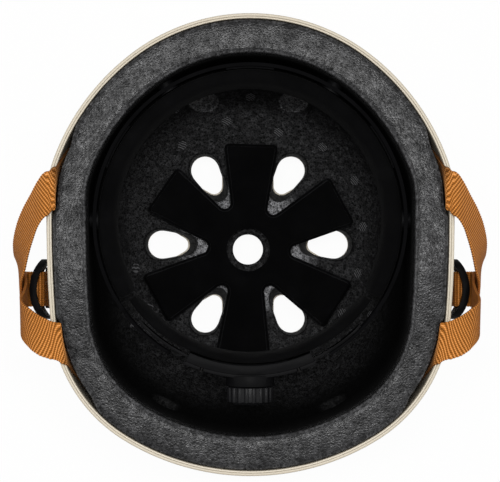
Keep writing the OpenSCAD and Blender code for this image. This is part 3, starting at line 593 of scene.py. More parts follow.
def bead_foam(colours):
    """Moulded foam of pressed beads, glossy skin on the rim and dull inside, with painted light in its
    colour: paler on the rim and brightest on its inner edge, on a ring round the crown and at the brow
    vents, and painted shade inside and on steep walls.
    """
    material, tree, shader = finish_of("bead_foam", Specular_IOR_Level=0.08, Coat_Roughness=0.24)
    place = coordinates(tree)
    warp = texture(tree, "Noise", place, Scale=700.0, Detail=3.0, Roughness=0.6)
    beads = texture(tree, "Voronoi", place, feature="F1", Scale=680.0, Randomness=1.0)
    seams = texture(tree, "Voronoi", place, feature="DISTANCE_TO_EDGE", Scale=680.0, Randomness=1.0)
    patches = texture(tree, "Noise", place, Scale=120.0, Detail=4.0, Roughness=0.65)
    foam = colours.foam
    tone = tree.nodes.new("ShaderNodeSeparateColor")
    tree.links.new(beads.outputs["Color"], tone.inputs["Color"])
    bead_colour = ramp(tree, tone.outputs["Red"], (
        (0.0, shade(foam, 0.35)), (0.5, shade(foam, 0.8)), (0.9, shade(foam, 1.5)), (1.0, shade(foam, 2.0))))
    grain = ramp(tree, warp.outputs["Fac"], ((0.32, (0.65, 0.65, 0.65)), (0.68, (1.35, 1.35, 1.35))))
    patch_colour = ramp(tree, patches.outputs["Fac"], ((0.3, (0.8, 0.8, 0.8)), (0.7, (1.2, 1.2, 1.2))))
    seam_colour = ramp(tree, seams.outputs["Distance"], ((0.0, (2.2, 2.2, 2.2)), (0.26, (0.5, 0.5, 0.5))))
    mottled = mixed(tree, "MULTIPLY", 1.0, bead_colour, patch_colour)
    grained = mixed(tree, "MULTIPLY", 1.0, mottled, grain)
    speckled = mixed(tree, "MULTIPLY", 0.8, grained, seam_colour)
    height, facing_up = axis_of(tree, place), upright(tree)
    # Painted highlight: where the rim's inner edge rounds over, the foam's colour is painted up to twice as
    # pale, and its coat is made as much stronger.
    painted_edge_highlight_and_gloss = ranged(tree, facing_up, 2.0, 1.0, 0.8, 0.97)
    # Painted light and real gloss: above the rim's height the foam's colour is paler and its coat glossy;
    # below it the colour is painted in shade.
    rim_gloss_and_painted_light = combined(tree, "MULTIPLY", ranged(tree, height, 0.0, 0.8, 0.127, 0.1385), painted_edge_highlight_and_gloss)
    # Painted light on the crown: a ring between the middle vent and the crown vents is painted up to seven
    # times as pale, and next to the middle vent the foam is left darker, a painted shadow at the pad's edge.
    reach = distance_from(tree, place, 0, -0.003)
    past_hub = ranged(tree, reach, 0.0, 1.0, 0.0185, 0.0215)
    before_side = ranged(tree, reach, 7.0, 0.0, 0.029, 0.045)
    painted_crown_light = combined(tree, "MULTIPLY", past_hub, before_side)
    level = combined(tree, "MAXIMUM", rim_gloss_and_painted_light, painted_crown_light)
    # Painted shade inside: below the rim the foam's colour is cut to 0.12 from 80 mm up, and to 0.7 towards
    # the crown, below 45 mm.
    inside = combined(tree, "MAXIMUM", level, ranged(tree, height, 0.7, 0.12, 0.045, 0.08))
    # Painted shade on steep faces: the steeper the foam stands, the darker it is painted, down to a tenth on
    # upright walls.
    painted_wall_shade = ranged(tree, facing_up, 0.1, 1.0, 0.35, 0.75)
    painted_light_level = combined(tree, "MULTIPLY", inside, painted_wall_shade)
    # Painted light at the brow vents: an oval over each vent's tunnel is painted up to 2.8 times as pale.
    for side in (-1, 1):
        from_vent = distance_from(tree, place, side * 0.0265, 0.084, 1.5)
        painted_vent_light = ranged(tree, from_vent, 2.8, 0.0, 0.0083, 0.0093)
        painted_light_level = combined(tree, "MAXIMUM", painted_light_level, painted_vent_light)
    tree.links.new(mixed(tree, "MULTIPLY", 1.0, speckled, painted_light_level), shader.inputs["Base Color"])
    tree.links.new(ranged(tree, tone.outputs["Blue"], 0.7, 0.95), shader.inputs["Roughness"])
    skin_patches = ranged(tree, patches.outputs["Fac"], 0.12, 0.38, 0.35, 0.65)
    tree.links.new(combined(tree, "MULTIPLY", rim_gloss_and_painted_light, skin_patches), shader.inputs["Coat Weight"])
    first = bump(tree, shader, seams.outputs["Distance"], 0.36, 0.0005)
    second = bump(tree, shader, patches.outputs["Fac"], 0.15, 0.0010, first)
    skin = bump(tree, shader, warp.outputs["Fac"], 0.1, 0.0005, second)
    tree.links.new(skin, shader.inputs["Coat Normal"])
    return material


def marked_foam(colours):
    """Foam pressed by the grooved pins of the mould."""
    material, tree, shader = finish_of("marked_foam", Roughness=0.8, Specular_IOR_Level=0.1)
    place = coordinates(tree)
    grooves = texture(tree, "Wave", place, wave_type="BANDS", bands_direction="DIAGONAL",
                      wave_profile="SIN", Scale=300.0, Distortion=0.5, Detail=2.0)
    foam = colours.foam
    tone = ramp(tree, grooves.outputs["Fac"], ((0.45, shade(foam, 0.6)), (0.85, shade(foam, 5.0))))
    tree.links.new(tone, shader.inputs["Base Color"])
    bump(tree, shader, grooves.outputs["Fac"], 0.4, 0.0004)
    return material


def brushed_cloth(colours, name, edge=1.0):
    """Black brushed jersey with a short nap; by the edge factor it is paler where its surface slopes at the
    pad's pressed edges, a painted sheen.
    """
    material, tree, shader = finish_of(
        name, Roughness=0.95, Specular_IOR_Level=0.03, Sheen_Weight=0.01, Sheen_Roughness=0.5)
    place = coordinates(tree)
    nap = texture(tree, "Noise", place, Scale=1600.0, Detail=4.0, Roughness=0.7)
    drift = texture(tree, "Noise", place, Scale=60.0, Detail=3.0)
    cloth = colours.pads
    colour = ramp(tree, drift.outputs["Fac"], (
        (0.35, shade(cloth, 0.7)), (0.6, cloth), (0.8, shade(cloth, 1.5))))
    # Painted sheen: faces tilted more than about 40 degrees are painted paler, by the whole edge factor from
    # 60 degrees.
    edges = ranged(tree, upright(tree), edge, 1.0, 0.5, 0.78)
    tree.links.new(mixed(tree, "MULTIPLY", 1.0, colour, edges), shader.inputs["Base Color"])
    first = bump(tree, shader, nap.outputs["Fac"], 0.5, 0.0004)
    bump(tree, shader, drift.outputs["Fac"], 0.25, 0.002, first)
    return material


def moulded_plastic(name, colour, low=0.45, high=0.62, sheen=0.045):
    """Moulded plastic with fine spark texture and faint flow marks."""
    material, tree, shader = finish_of(name, Specular_IOR_Level=sheen)
    place = coordinates(tree)
    grain = texture(tree, "Noise", place, Scale=2400.0, Detail=2.0)
    flow = texture(tree, "Noise", place, Scale=55.0, Detail=4.0)
    tone = ramp(tree, flow.outputs["Fac"], ((0.3, shade(colour, 0.8)), (0.7, shade(colour, 1.35))))
    tree.links.new(tone, shader.inputs["Base Color"])
    tree.links.new(ranged(tree, flow.outputs["Fac"], low, high), shader.inputs["Roughness"])
    bump(tree, shader, grain.outputs["Fac"], 0.12, 0.0003)
    return material


def woven_yarn(colours, name, painted_shade_length=0.0):
    """Ribbed webbing: cross ribs cut into stitches by the warp, with painted shade in the gaps and painted
    highlights on the ribs' crests.

    Up to the length given in widths, the yarn is painted darker: painted shade where it goes down into the
    gap at the lip.
    """
    material, tree, shader = finish_of(
        name, Roughness=0.7, Specular_IOR_Level=0.15, Sheen_Weight=0.02, Sheen_Roughness=0.4)
    place = coordinates(tree, "UV")
    ribs = texture(tree, "Wave", place, wave_type="BANDS", bands_direction="Y", wave_profile="SIN",
                   Scale=3.927, Distortion=0.0, **{"Phase Offset": -math.pi / 2})
    warp = texture(tree, "Wave", place, wave_type="BANDS", bands_direction="X", wave_profile="SIN",
                   Scale=5.65, Distortion=0.35, Detail=2.0)
    fuzz = texture(tree, "Noise", place, Scale=60.0, Detail=5.0, Roughness=0.7)
    streaks = texture(tree, "Noise", place, Scale=7.0, Detail=4.0)
    orange = colours.webbing
    # Painted highlight and shade on the cross ribs: paler on their crests and darker in the troughs, and
    # darker again in the gaps between warp cords.
    light = (orange[0] * 1.7, orange[1] * 2.15, orange[2] * 5.5)
    rib_tone = ramp(tree, ribs.outputs["Fac"], (
        (0.0, shade(orange, 0.36)), (0.35, shade(orange, 0.85)), (0.75, orange), (1.0, light)))
    warp_tone = ramp(tree, warp.outputs["Fac"], ((0.0, (0.55, 0.5, 0.45)), (0.55, (1, 1, 1))))
    fuzz_tone = ramp(tree, fuzz.outputs["Fac"], ((0.3, (0.8, 0.8, 0.8)), (0.7, (1.12, 1.12, 1.12))))
    woven = mixed(tree, "MULTIPLY", 0.8, rib_tone, warp_tone)
    streaked = mixed(tree, "MULTIPLY", 1.0, woven, fuzz_tone)
    # Painted shade: the webbing's first part, down in the gap between shell and liner, is painted darker.
    if painted_shade_length:
        depth = ranged(tree, axis_of(tree, place, "Y"), 0.25, 1.0, painted_shade_length - 0.3, painted_shade_length)
        streaked = mixed(tree, "MULTIPLY", 1.0, streaked, depth)
    tree.links.new(streaked, shader.inputs["Base Color"])
    first = bump(tree, shader, warp.outputs["Fac"], 0.6, 0.0004)
    second = bump(tree, shader, fuzz.outputs["Fac"], 0.3, 0.0003, first)
    bump(tree, shader, streaks.outputs["Fac"], 0.1, 0.0005, second)
    return material


def plated_steel(name, level, dullness=0.0):
    """Steel with faint stains, plated bright or blacked and dull."""
    material, tree, shader = finish_of(name, Metallic=1.0)
    place = coordinates(tree)
    stains = texture(tree, "Noise", place, Scale=350.0, Detail=4.0)
    tone = ramp(tree, stains.outputs["Fac"], (
        (0.3, shade((0.72, 0.72, 0.72), level)), (0.7, shade((1, 0.985, 0.96), level))))
    tree.links.new(tone, shader.inputs["Base Color"])
    roughness = ranged(tree, stains.outputs["Fac"], 0.2 + dullness, 0.42 + dullness)
    tree.links.new(roughness, shader.inputs["Roughness"])
    bump(tree, shader, stains.outputs["Fac"], 0.08, 0.0002)
    return material


def hook_tape():
    material, tree, shader = finish_of("hook_tape", Roughness=0.9, Specular_IOR_Level=0.05)
    place = coordinates(tree)
    hooks = texture(tree, "Voronoi", place, feature="F1", Scale=900.0, Randomness=0.3)
    tone = ramp(tree, hooks.outputs["Distance"], (
        (0.1, (0.006, 0.006, 0.0066)), (0.5, (0.002, 0.002, 0.0022))))
    tree.links.new(tone, shader.inputs["Base Color"])
    bump(tree, shader, hooks.outputs["Distance"], -0.6, 0.0006)
    return material


# Copies of rigid frame pieces with softened edges


def merged_copy(node, name):
    """Copy of a frame piece with its loose triangles joined into clean faces."""
    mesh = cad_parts[node].data.copy()
    bm = bmesh.new()
    bm.from_mesh(mesh)
    bmesh.ops.remove_doubles(bm, verts=bm.verts, dist=0.000004)
    bmesh.ops.dissolve_limit(
        bm, angle_limit=math.radians(0.5), verts=bm.verts, edges=bm.edges, delimit={"NORMAL"})
    bpy.data.meshes.remove(mesh)
    return new_piece(name, bm)


def rounded_copy(node, name, radius):
    """Copy of a rigid frame piece with rounded edges."""
    piece = merged_copy(node, name)
    round_edges(piece, radius, 2, 28)
    smooth_by_angle(piece, 40)
    return piece


def swollen(piece, settings):
    """Lets a pad swell as cloth under air pressure, with a cap on how far a point may move."""
    for vertex in piece.data.vertices:
        vertex.co -= vertex.normal * settings.shrink
    start = [vertex.co.copy() for vertex in piece.data.vertices]
    cloth = piece.modifiers.new("Swell", "CLOTH")
    cloth.settings.use_pressure = True
    cloth.settings.uniform_pressure_force = settings.pressure
    cloth.settings.effector_weights.gravity = 0
    for step in range(1, settings.frames + 1):
        bpy.context.scene.frame_set(step)
    apply_modifiers(piece)
    bpy.context.scene.frame_set(1)
    for vertex, place in zip(piece.data.vertices, start):
        moved = vertex.co - place
        if moved.length > settings.cap:
            vertex.co = place + moved.normalized() * settings.cap
    add_relax(piece, 2)
    finer = piece.modifiers.new("Finer", "SUBSURF")
    finer.levels = 1
    finer.render_levels = 1
    apply_modifiers(piece)
    bpy.ops.object.shade_smooth()
    return piece


class HELMET_OT_shell(Operator):
    """Loft the outer shell with its rolled lip and cut its vents"""

    bl_idname = "helmet.shell"
    bl_label = "Outer Shell"

    # Inset and depth in millimetres, over the rolled edge and down to its inner ledge
    lip_profile = (
        (0, 8), (0, 5.2), (-0.16, 4.4), (-0.34, 3.4), (-0.4, 2.4), (-0.37, 1.4), (-0.24, 0.7),
        (0, 0.2), (0.3, 0), (0.9, 0), (1.2, 0.12), (1.34, 0.45), (1.4, 0.85), (1.55, 1.05),
        (2.15, 1.1), (2.32, 1.3), (2.4, 1.8), (2.4, 8))

    def execute(self, context):
        sizes = context.scene.helmet_shell
        rings = dome_rings(sizes, 0, 0, 30)
        rings += [wall_ring(sizes, 0, share) for share in (0.2, 0.4, 0.6, 0.8)]
        rings += [lip_ring(sizes, inset * MM, below * MM) for inset, below in self.lip_profile]
        rings += [wall_ring(sizes, sizes.wall, share) for share in (0.75, 0.5, 0.25)]
        rings += dome_rings(sizes, sizes.wall, sizes.wall, 28)[::-1]
        vents = context.scene.helmet_vents
        shell = cut(loft("shell", rings), vent_cutters(sizes, vents, vents.hole_extra, 0, 0))
        round_edges(shell, 0.0006, 3, 45)
        smooth_by_angle(shell, 35)
        dress(shell, "helmet", shell_lacquer(context.scene.helmet_colours), "shell_lacquer", "outer_shell")
        return {"FINISHED"}


class HELMET_OT_liner(Operator):
    """Loft the foam liner, cut its tunnels and round them as moulding does"""

    bl_idname = "helmet.liner"
    bl_label = "Foam Liner"

    # Places along the helmet, in millimetres, and the share of the pocket's depth there
    pocket_places = (
        (-91, 0), (-84, 1), (-43, 1), (-40.5, 0), (16.5, 0), (19, 1), (55, 1), (63, 0))

    def pocketed(self, ring, depth):
        """Moves a ring of the outer wall in where the webbing goes down."""
        moved = []
        for point in ring:
            share = between(self.pocket_places, point.y / MM) * min(1, max(0, (point.z / MM - 87) / 5))
            flat = Vector((point.x, point.y, 0)).normalized()
            moved.append(point - flat * depth * share)
        return moved

    def execute(self, context):
        shell = context.scene.helmet_shell
        liner = context.scene.helmet_liner
        outer = shell.wall + liner.gap
        inner = outer + liner.rim_thickness
        outer_round, drop = 0.001, liner.drop
        wall = dome_rings(shell, outer, outer, 26)
        wall += [wall_ring(shell, outer, share, 0.003) for share in (0.15, 0.3, 0.45, 0.6, 0.75, 0.9)]
        for turn in (0, 30, 60, 90):
            angle = math.radians(turn)
            wall.append(lip_ring(shell, outer + outer_round * (1 - math.cos(angle)),
                                 drop + outer_round * (1 - math.sin(angle))))
        rings = [self.pocketed(ring, liner.pocket) for ring in wall]
        bend = liner.inner_round
        for turn in (90, 70, 50, 30, 10, 0):
            angle = math.radians(turn)
            rings.append(lip_ring(shell, inner - bend * (1 - math.cos(angle)),
                                  drop + bend * (1 - math.sin(angle))))
        rings += [wall_ring(shell, inner, share, 0.006) for share in (0.75, 0.5, 0.25)]
        rings += dome_rings(shell, inner, outer + liner.crown_thickness, 24)[::-1]
        vents = context.scene.helmet_vents
        cutters = vent_cutters(shell, vents, 0, vents.funnel, vents.flare)
        foam = remeshed(cut(loft("liner", rings), cutters), liner.voxel, 4)
        dress(foam, "helmet", bead_foam(context.scene.helmet_colours), "foam", "foam_liner")
        return {"FINISHED"}


class HELMET_OT_mould_marks(Operator):
    """Set the round mould marks into the inside of the liner"""

    bl_idname = "helmet.mould_marks"
    bl_label = "Mould Marks"

    # Places across and along the helmet, in millimetres
    places = (
        (-43, 79), (-13, 73.5), (1, 87), (18, 67), (38, 84.5), (-39.5, 59), (44, 58), (63, 38),
        (68, 10.5), (65, -17), (56, -41), (72, -42), (-59, -38), (-67, -14), (-68, -48))

    # Insets of the disc's face: how far in, and how far up
    insets = ((0.0005, 0), (0.0002, -0.0003), (0.0012, 0), (0.0002, 0.0003))

    def mark(self):
        """Flat disc with a raised rim and a pin mark in its middle."""
        bpy.ops.mesh.primitive_cylinder_add(vertices=28, radius=0.0028, depth=0.0006)
        disc = bpy.context.active_object
        bpy.ops.object.mode_set(mode="EDIT")
        bpy.ops.mesh.select_all(action="DESELECT")
        bpy.ops.mesh.select_mode(type="FACE")
        bpy.ops.object.mode_set(mode="OBJECT")
        for face in disc.data.polygons:
            face.select = face.normal.z > 0.9
        bpy.ops.object.mode_set(mode="EDIT")
        for thickness, depth in self.insets:
            bpy.ops.mesh.inset(thickness=thickness, depth=depth)
        bpy.ops.object.mode_set(mode="OBJECT")
        return disc

    def execute(self, context):
        foam = bpy.data.objects["liner"]
        tree = BVHTree.FromObject(foam, context.evaluated_depsgraph_get())
        first = self.mark()
        marks = []
        for x, y in self.places:
            spot, normal, _, _ = tree.ray_cast(Vector((x * MM, y * MM, 0.2)), Vector((0, 0, -1)))
            mesh = first.data.copy()
            turn = normal.to_track_quat("Z", "Y").to_matrix().to_4x4()
            mesh.transform(Matrix.Translation(spot + normal * 0.0001) @ turn)
            copy = bpy.data.objects.new("mould_mark", mesh)
            bpy.context.scene.collection.objects.link(copy)
            marks.append(copy)
        bpy.data.objects.remove(first)
        piece = join(marks, "mould_marks")
        smooth_by_angle(piece, 40)
        dress(piece, "helmet", marked_foam(context.scene.helmet_colours), "foam")
        return {"FINISHED"}


class HELMET_OT_pads(Operator):
    """Make the padded ring pads and the star shaped crown pad"""

    bl_idname = "helmet.pads"
    bl_label = "Pads"

    def execute(self, context):
        colours = context.scene.helmet_colours
        cloth = brushed_cloth(colours, "brushed_jersey")
        sizes = context.scene.helmet_pads
        for node in ("brow_pad", "nape_pad"):
            pad = swollen(remeshed(merged_copy(node, node + "_cloth"), sizes.ring_voxel, 2), sizes)
            dress(pad, "helmet", cloth, "pad_fabric", node)
        star = remeshed(merged_copy("crown_pad", "crown_pad_cloth"), sizes.star_voxel, 3)
        # The crown pad's cloth carries a painted sheen, six times as pale on its sloping edges.
        dress(star, "helmet", brushed_cloth(colours, "painted_sheen_jersey", 6.0), "pad_fabric", "crown_pad")
        return {"FINISHED"}


# Webbing


# Middle of the webbing in millimetres and the direction of its width, on the wearer's left
FRONT_ROUTE = (
    ((106.3, 29.7, 147.3), (0.05, 1, -0.02)),
    ((109.2, 27.8, 147.2), (0.1, 0.99, 0)),
    ((112.6, 24.6, 146.1), (0.22, 0.9, -0.35)),
    ((116, 19.8, 143.6), (0.34, 0.73, -0.59)),
    ((119.6, 14, 140.2), (0.44, 0.56, -0.7)),
    ((122.8, 6.9, 135.5), (0.5, 0.42, -0.75)),
    ((125.6, -1.5, 129.3), (0.48, 0.32, -0.82)),
    ((127.2, -9.5, 121.6), (0.36, 0.34, -0.87)),
    ((128.2, -16, 112.6), (0.15, 0.52, -0.84)),
    ((128.6, -21, 104.6), (0.08, 0.78, -0.62)),
    ((128.9, -24.2, 97.1), (0, 0.95, -0.3)),
    ((128.6, -25.3, 90.6), (0, 1, -0.05)),
    ((126.4, -25.5, 86.6), (0, 1, 0)),
    ((123, -25.5, 85.3), (0, 1, 0)),
    ((120.2, -25.5, 85.2), (0, 1, 0)),
    ((118.4, -25.5, 85.1), (0, 1, 0)),
)
REAR_ROUTE = (
    ((102.3, -53.2, 149), (0.05, 1, -0.02)),
    ((108.4, -51.3, 149.3), (0.06, 1, 0)),
    ((114.1, -48.9, 148.6), (0.06, 0.99, 0.05)),
    ((119.4, -45.4, 145.8), (0.03, 0.99, 0.08)),
    ((123.6, -41.8, 139.6), (0, 0.99, 0.14)),
    ((125.2, -38.4, 130.5), (0, 0.97, 0.25)),
    ((124.6, -34.3, 119.5), (0, 0.94, 0.3)),
    ((124.9, -30, 109), (0, 0.95, 0.3)),
    ((126.2, -26.8, 100.6), (0, 0.98, 0.2)),
    ((125.9, -25.6, 96.2), (0, 1, 0.05)),
    ((123.2, -25.5, 93.9), (0, 1, 0)),
    ((120.2, -25.5, 93.7), (0, 1, 0)),
    ((118, -25.5, 93), (0, 1, 0)),
    ((117, -25.5, 91.2), (0, 1, 0)),
    ((116.8, -25.5, 88.8), (0, 1, 0)),
    ((116.6, -25.5, 86.6), (0, 1, 0)),
)
# The chin strap's places outwards and upwards, its place along the helmet, and the buckle's bar
CHIN_PLACES = (
    (116.5, 86.4), (115.2, 80), (114.8, 73), (116, 66), (116.8, 57), (117.6, 48), (118.4, 39),
    (119.2, 30), (119.9, 22), (120.5, 13), (120.7, 8.2),
)
CHIN_Y = -25.5
BAR = (117.5, 5.2)
LOOP_RADIUS = 3.2
TAIL_PLACES = ((114.5, 9.5), (115.8, 14), (117.2, 20), (117.2, 30))
# Rivets along the helmet and the webbing's distance from the shell, in metres
FRONT_RIVET_Y, REAR_RIVET_Y = 0.050, -0.074
WEB_GAP = 0.0007
# The least sine of the angle between the webbing's length and its line across
LEAST_SLANT = 0.87


def chin_route():
    """Down the outside, round the buckle's bar and back up the inside."""
    loop = [
        (BAR[0] + LOOP_RADIUS * math.cos(a), BAR[1] - LOOP_RADIUS * math.sin(a))
        for a in (math.radians(22.5 * i) for i in range(9))
    ]
    return [((x, CHIN_Y, z), (0, 1, 0)) for x, z in (*CHIN_PLACES, *loop, *TAIL_PLACES)]


def curve_between(a, b, c, d, t):
    """Point between b and c on the smooth curve through all four."""
    return (2 * b + (c - a) * t + (2 * a - 5 * b + 4 * c - d) * t * t
            + (3 * b - a - 3 * c + d) * t * t * t) / 2


def smooth_route(route, steps=14):
    """Close points of (middle, direction of the width) on a smooth curve, in metres."""
    points = [(Vector(p) * MM, Vector(w).normalized()) for p, w in route]
    last = len(points) - 1
    fine = []
    for i in range(last):
        four = [points[max(i - 1, 0)], points[i], points[i + 1], points[min(i + 2, last)]]
        for j in range(steps):
            t = j / steps
            fine.append(tuple(curve_between(*(each[k] for each in four), t) for k in (0, 1)))
    fine.append(points[last])
    return fine


def even_steps(route, step):
    """The route again with a point at every even step of length."""
    lengths = [0]
    for (a, _), (b, _) in zip(route, route[1:]):
        lengths.append(lengths[-1] + (b - a).length)
    count = max(2, round(lengths[-1] / step))
    even, k = [], 0
    for i in range(count + 1):
        at = lengths[-1] * i / count
        while k < len(lengths) - 2 and lengths[k + 1] < at:
            k += 1
        t = (at - lengths[k]) / (lengths[k + 1] - lengths[k])
        even.append((route[k][0].lerp(route[k + 1][0], t), route[k][1].lerp(route[k + 1][1], t), at))
    return even


def ribbon(name, route, sizes, columns=40):
    """Webbing along a route, with cross ribs, rounded selvedges and UVs measured in widths.

    The line across may slant: the web keeps its width, and its ribs stay square to its length.
    """
    stations = even_steps(route, sizes.rib_pitch / 4)
    half_width, half_thick, selvedge = sizes.width / 2, sizes.thickness / 2, 0.09
    bm = bmesh.new()
    weave = bm.loops.layers.uv.new("weave")
    loops, places = [], []
    for i, (middle, across, at) in enumerate(stations):
        tangent = (stations[min(i + 1, len(stations) - 1)][0] - stations[max(i - 1, 0)][0]).normalized()
        width = across.normalized()
        slant = max(LEAST_SLANT, tangent.cross(width).length)
        normal = tangent.cross(width).normalized()
        ring, spots = [], []
        for face in (-1, 1):
            for j in range(columns + 1):
                u = face * (2 * j / columns - 1)
                edge = min(1, (1 - abs(u)) / selvedge)
                round_off = math.sqrt(max(0.0, 1 - (1 - edge) ** 2))
                along = at + u * half_width / slant * width.dot(tangent)
                rib = 0.5 - 0.5 * math.cos(2 * math.pi * along / sizes.rib_pitch)
                lift = (half_thick - sizes.rib_height * (1 - rib) * edge) * (0.25 + 0.75 * round_off)
                reach = u * (half_width - sizes.scallop * (1 - rib)) / slant
                ring.append(bm.verts.new(middle + width * reach + normal * lift * face))
                spots.append(((u + 1) / 2, along / sizes.width))
        loops.append(ring)
        places.append(spots)
    for i in range(len(loops) - 1):
        count = len(loops[i])
        for j in range(count):
            k = (j + 1) % count
            face = bm.faces.new((loops[i][j], loops[i][k], loops[i + 1][k], loops[i + 1][j]))
            corners = (places[i][j], places[i][k], places[i + 1][k], places[i + 1][j])
            for loop, spot in zip(face.loops, corners):
                loop[weave].uv = spot
    for ring, spots in ((loops[0], places[0]), (loops[-1][::-1], places[-1][::-1])):
        face = bm.faces.new(ring)
        for loop, spot in zip(face.loops, spots):
            loop[weave].uv = spot
    piece = new_piece(name, bm)
    only(piece)
    bpy.ops.object.shade_smooth()
    return piece


def sided(route, side):
    """The route on the wearer's left, or its mirror image on the right."""
    return [((side * p[0], p[1], p[2]), (side * w[0], w[1], w[2])) for p, w in route]


def wall_reach(shell, y, inset):
    """How far out the side wall lies at a place along the helmet."""
    points = [outline_point(shell, angle, inset) for angle in normal_angles()]
    return between([(point.y, point.x) for point in points], y)


def anchored(route, shell, sizes, rivet_y, steps=7):
    """Adds the webbing's way up between shell and liner, from its rivet to its fold over the lip."""
    fold = Vector(route[0][0]) * MM
    inset = shell.wall + WEB_GAP + sizes.thickness / 2
    foot = shell.waist_height + sizes.rivet_rise
    lean = (rivet_y - fold.y) / (fold.z - foot)
    lead = []
    for step in range(steps):
        share = step / steps
        y = rivet_y + (fold.y - rivet_y) * share
        turn = (wall_reach(shell, y + MM, inset) - wall_reach(shell, y - MM, inset)) / (2 * MM)
        place = Vector((wall_reach(shell, y, inset), y, foot + (fold.z - foot) * share))
        lead.append((place / MM, (turn, 1, lean * (1 - share))))
    return [*lead, *route]


class HELMET_OT_webbing(Operator):
    """Weave the straps from their rivets over the lip to the dividers and the buckle"""

    bl_idname = "helmet.webbing"
    bl_label = "Webbing"

    def execute(self, context):
        sizes = context.scene.helmet_webbing
        colours = context.scene.helmet_colours
        # The straps' yarn is painted in shade over its first 2.3 widths, where it goes down into the gap at
        # the lip.
        yarn = woven_yarn(colours, "ribbed_webbing", 2.3)
        chin_yarn = woven_yarn(colours, "chin_webbing")
        for side, label in ((1, "left"), (-1, "right")):
            body = label + "_strap"
            for part, route, rivet_y in (
                ("front", FRONT_ROUTE, FRONT_RIVET_Y),
                ("rear", REAR_ROUTE, REAR_RIVET_Y),
            ):
                whole = anchored(route, context.scene.helmet_shell, sizes, rivet_y)
                strap = ribbon(f"{label}_{part}_webbing", smooth_route(sided(whole, side)), sizes)
                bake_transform(strap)
                dress(strap, None, yarn, "webbing",
                      f"{label}_{part}_strap", f"{label}_{part}_anchor_web")
            chin = ribbon(f"{label}_chin_webbing", smooth_route(sided(chin_route(), side)), sizes)
            dress(chin, body, chin_yarn, "webbing", f"{label}_chin_strap")
        return {"FINISHED"}


class HELMET_OT_mouldings(Operator):
    """Round the edges of the rigid plastic pieces and give them their finish"""

    bl_idname = "helmet.mouldings"
    bl_label = "Plastic Mouldings"

    # Frame piece, body, slot and edge radius in millimetres
    pieces = (
        ("head_ring", "helmet", "black_plastic", 0.35),
        ("dial_base", "helmet", "black_plastic", 0.3),
        ("dial_cover", "helmet", "black_plastic", 0.4),
        ("dial_knob", "dial", "dial_plastic", 0.3),
        ("left_rack_arm", "left_arm", "black_plastic", 0.2),
        ("right_rack_arm", "right_arm", "black_plastic", 0.2),
        ("left_divider", "left_strap", "black_plastic", 0.9),
        ("right_divider", "right_strap", "black_plastic", 0.9),
        ("buckle_socket", "left_buckle", "black_plastic", 0.5),
        ("buckle_prongs", "right_buckle", "black_plastic", 0.5),
        ("strap_keeper", "keeper", "rubber", 0.5),
    )

    def execute(self, context):
        black = context.scene.helmet_colours.plastic
        finishes = {
            "black_plastic": moulded_plastic("black_nylon", black),
            "ring_plastic": moulded_plastic("ring_nylon", black, 0.68, 0.85, 0.015),
            "dial_plastic": moulded_plastic("dial_acetal", shade(black, 2), 0.34, 0.46, 0.1),
            "rubber": moulded_plastic("keeper_rubber", shade(black, 1.2), 0.6, 0.8),
        }
        for node, body, slot, radius in self.pieces:
            piece = rounded_copy(node, node + "_moulding", radius * MM)
            finish = "ring_plastic" if node == "head_ring" else slot
            dress(piece, body, finishes[finish], slot, node)
        return {"FINISHED"}


class HELMET_OT_hardware(Operator):
    """Finish the frame pieces that keep their own shape"""

    bl_idname = "helmet.hardware"
    bl_label = "Small Hardware"

    def execute(self, context):
        black = context.scene.helmet_colours.plastic
        steel, tape = plated_steel("plated_steel", 0.7), hook_tape()
        blacked = plated_steel("blacked_steel", 0.015, 0.4)
        nylon = moulded_plastic("plug_nylon", shade(black, 1.4))
        acetal = moulded_plastic("spring_acetal", shade(black, 2))
        for material, nodes in (
            (steel, ("strap_rivets", "rivet_washers", "dial_screw")),
            (blacked, ("cover_screws",)),
            (tape, ("pad_hook_strips", "crown_hook_dots")),
            (nylon, ("ring_plugs", "dial_pinion")),
            (acetal, ("click_spring",)),
        ):
            for node in nodes:
                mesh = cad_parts[node].data
                mesh.materials.clear()
                mesh.materials.append(material)
        return {"FINISHED"}


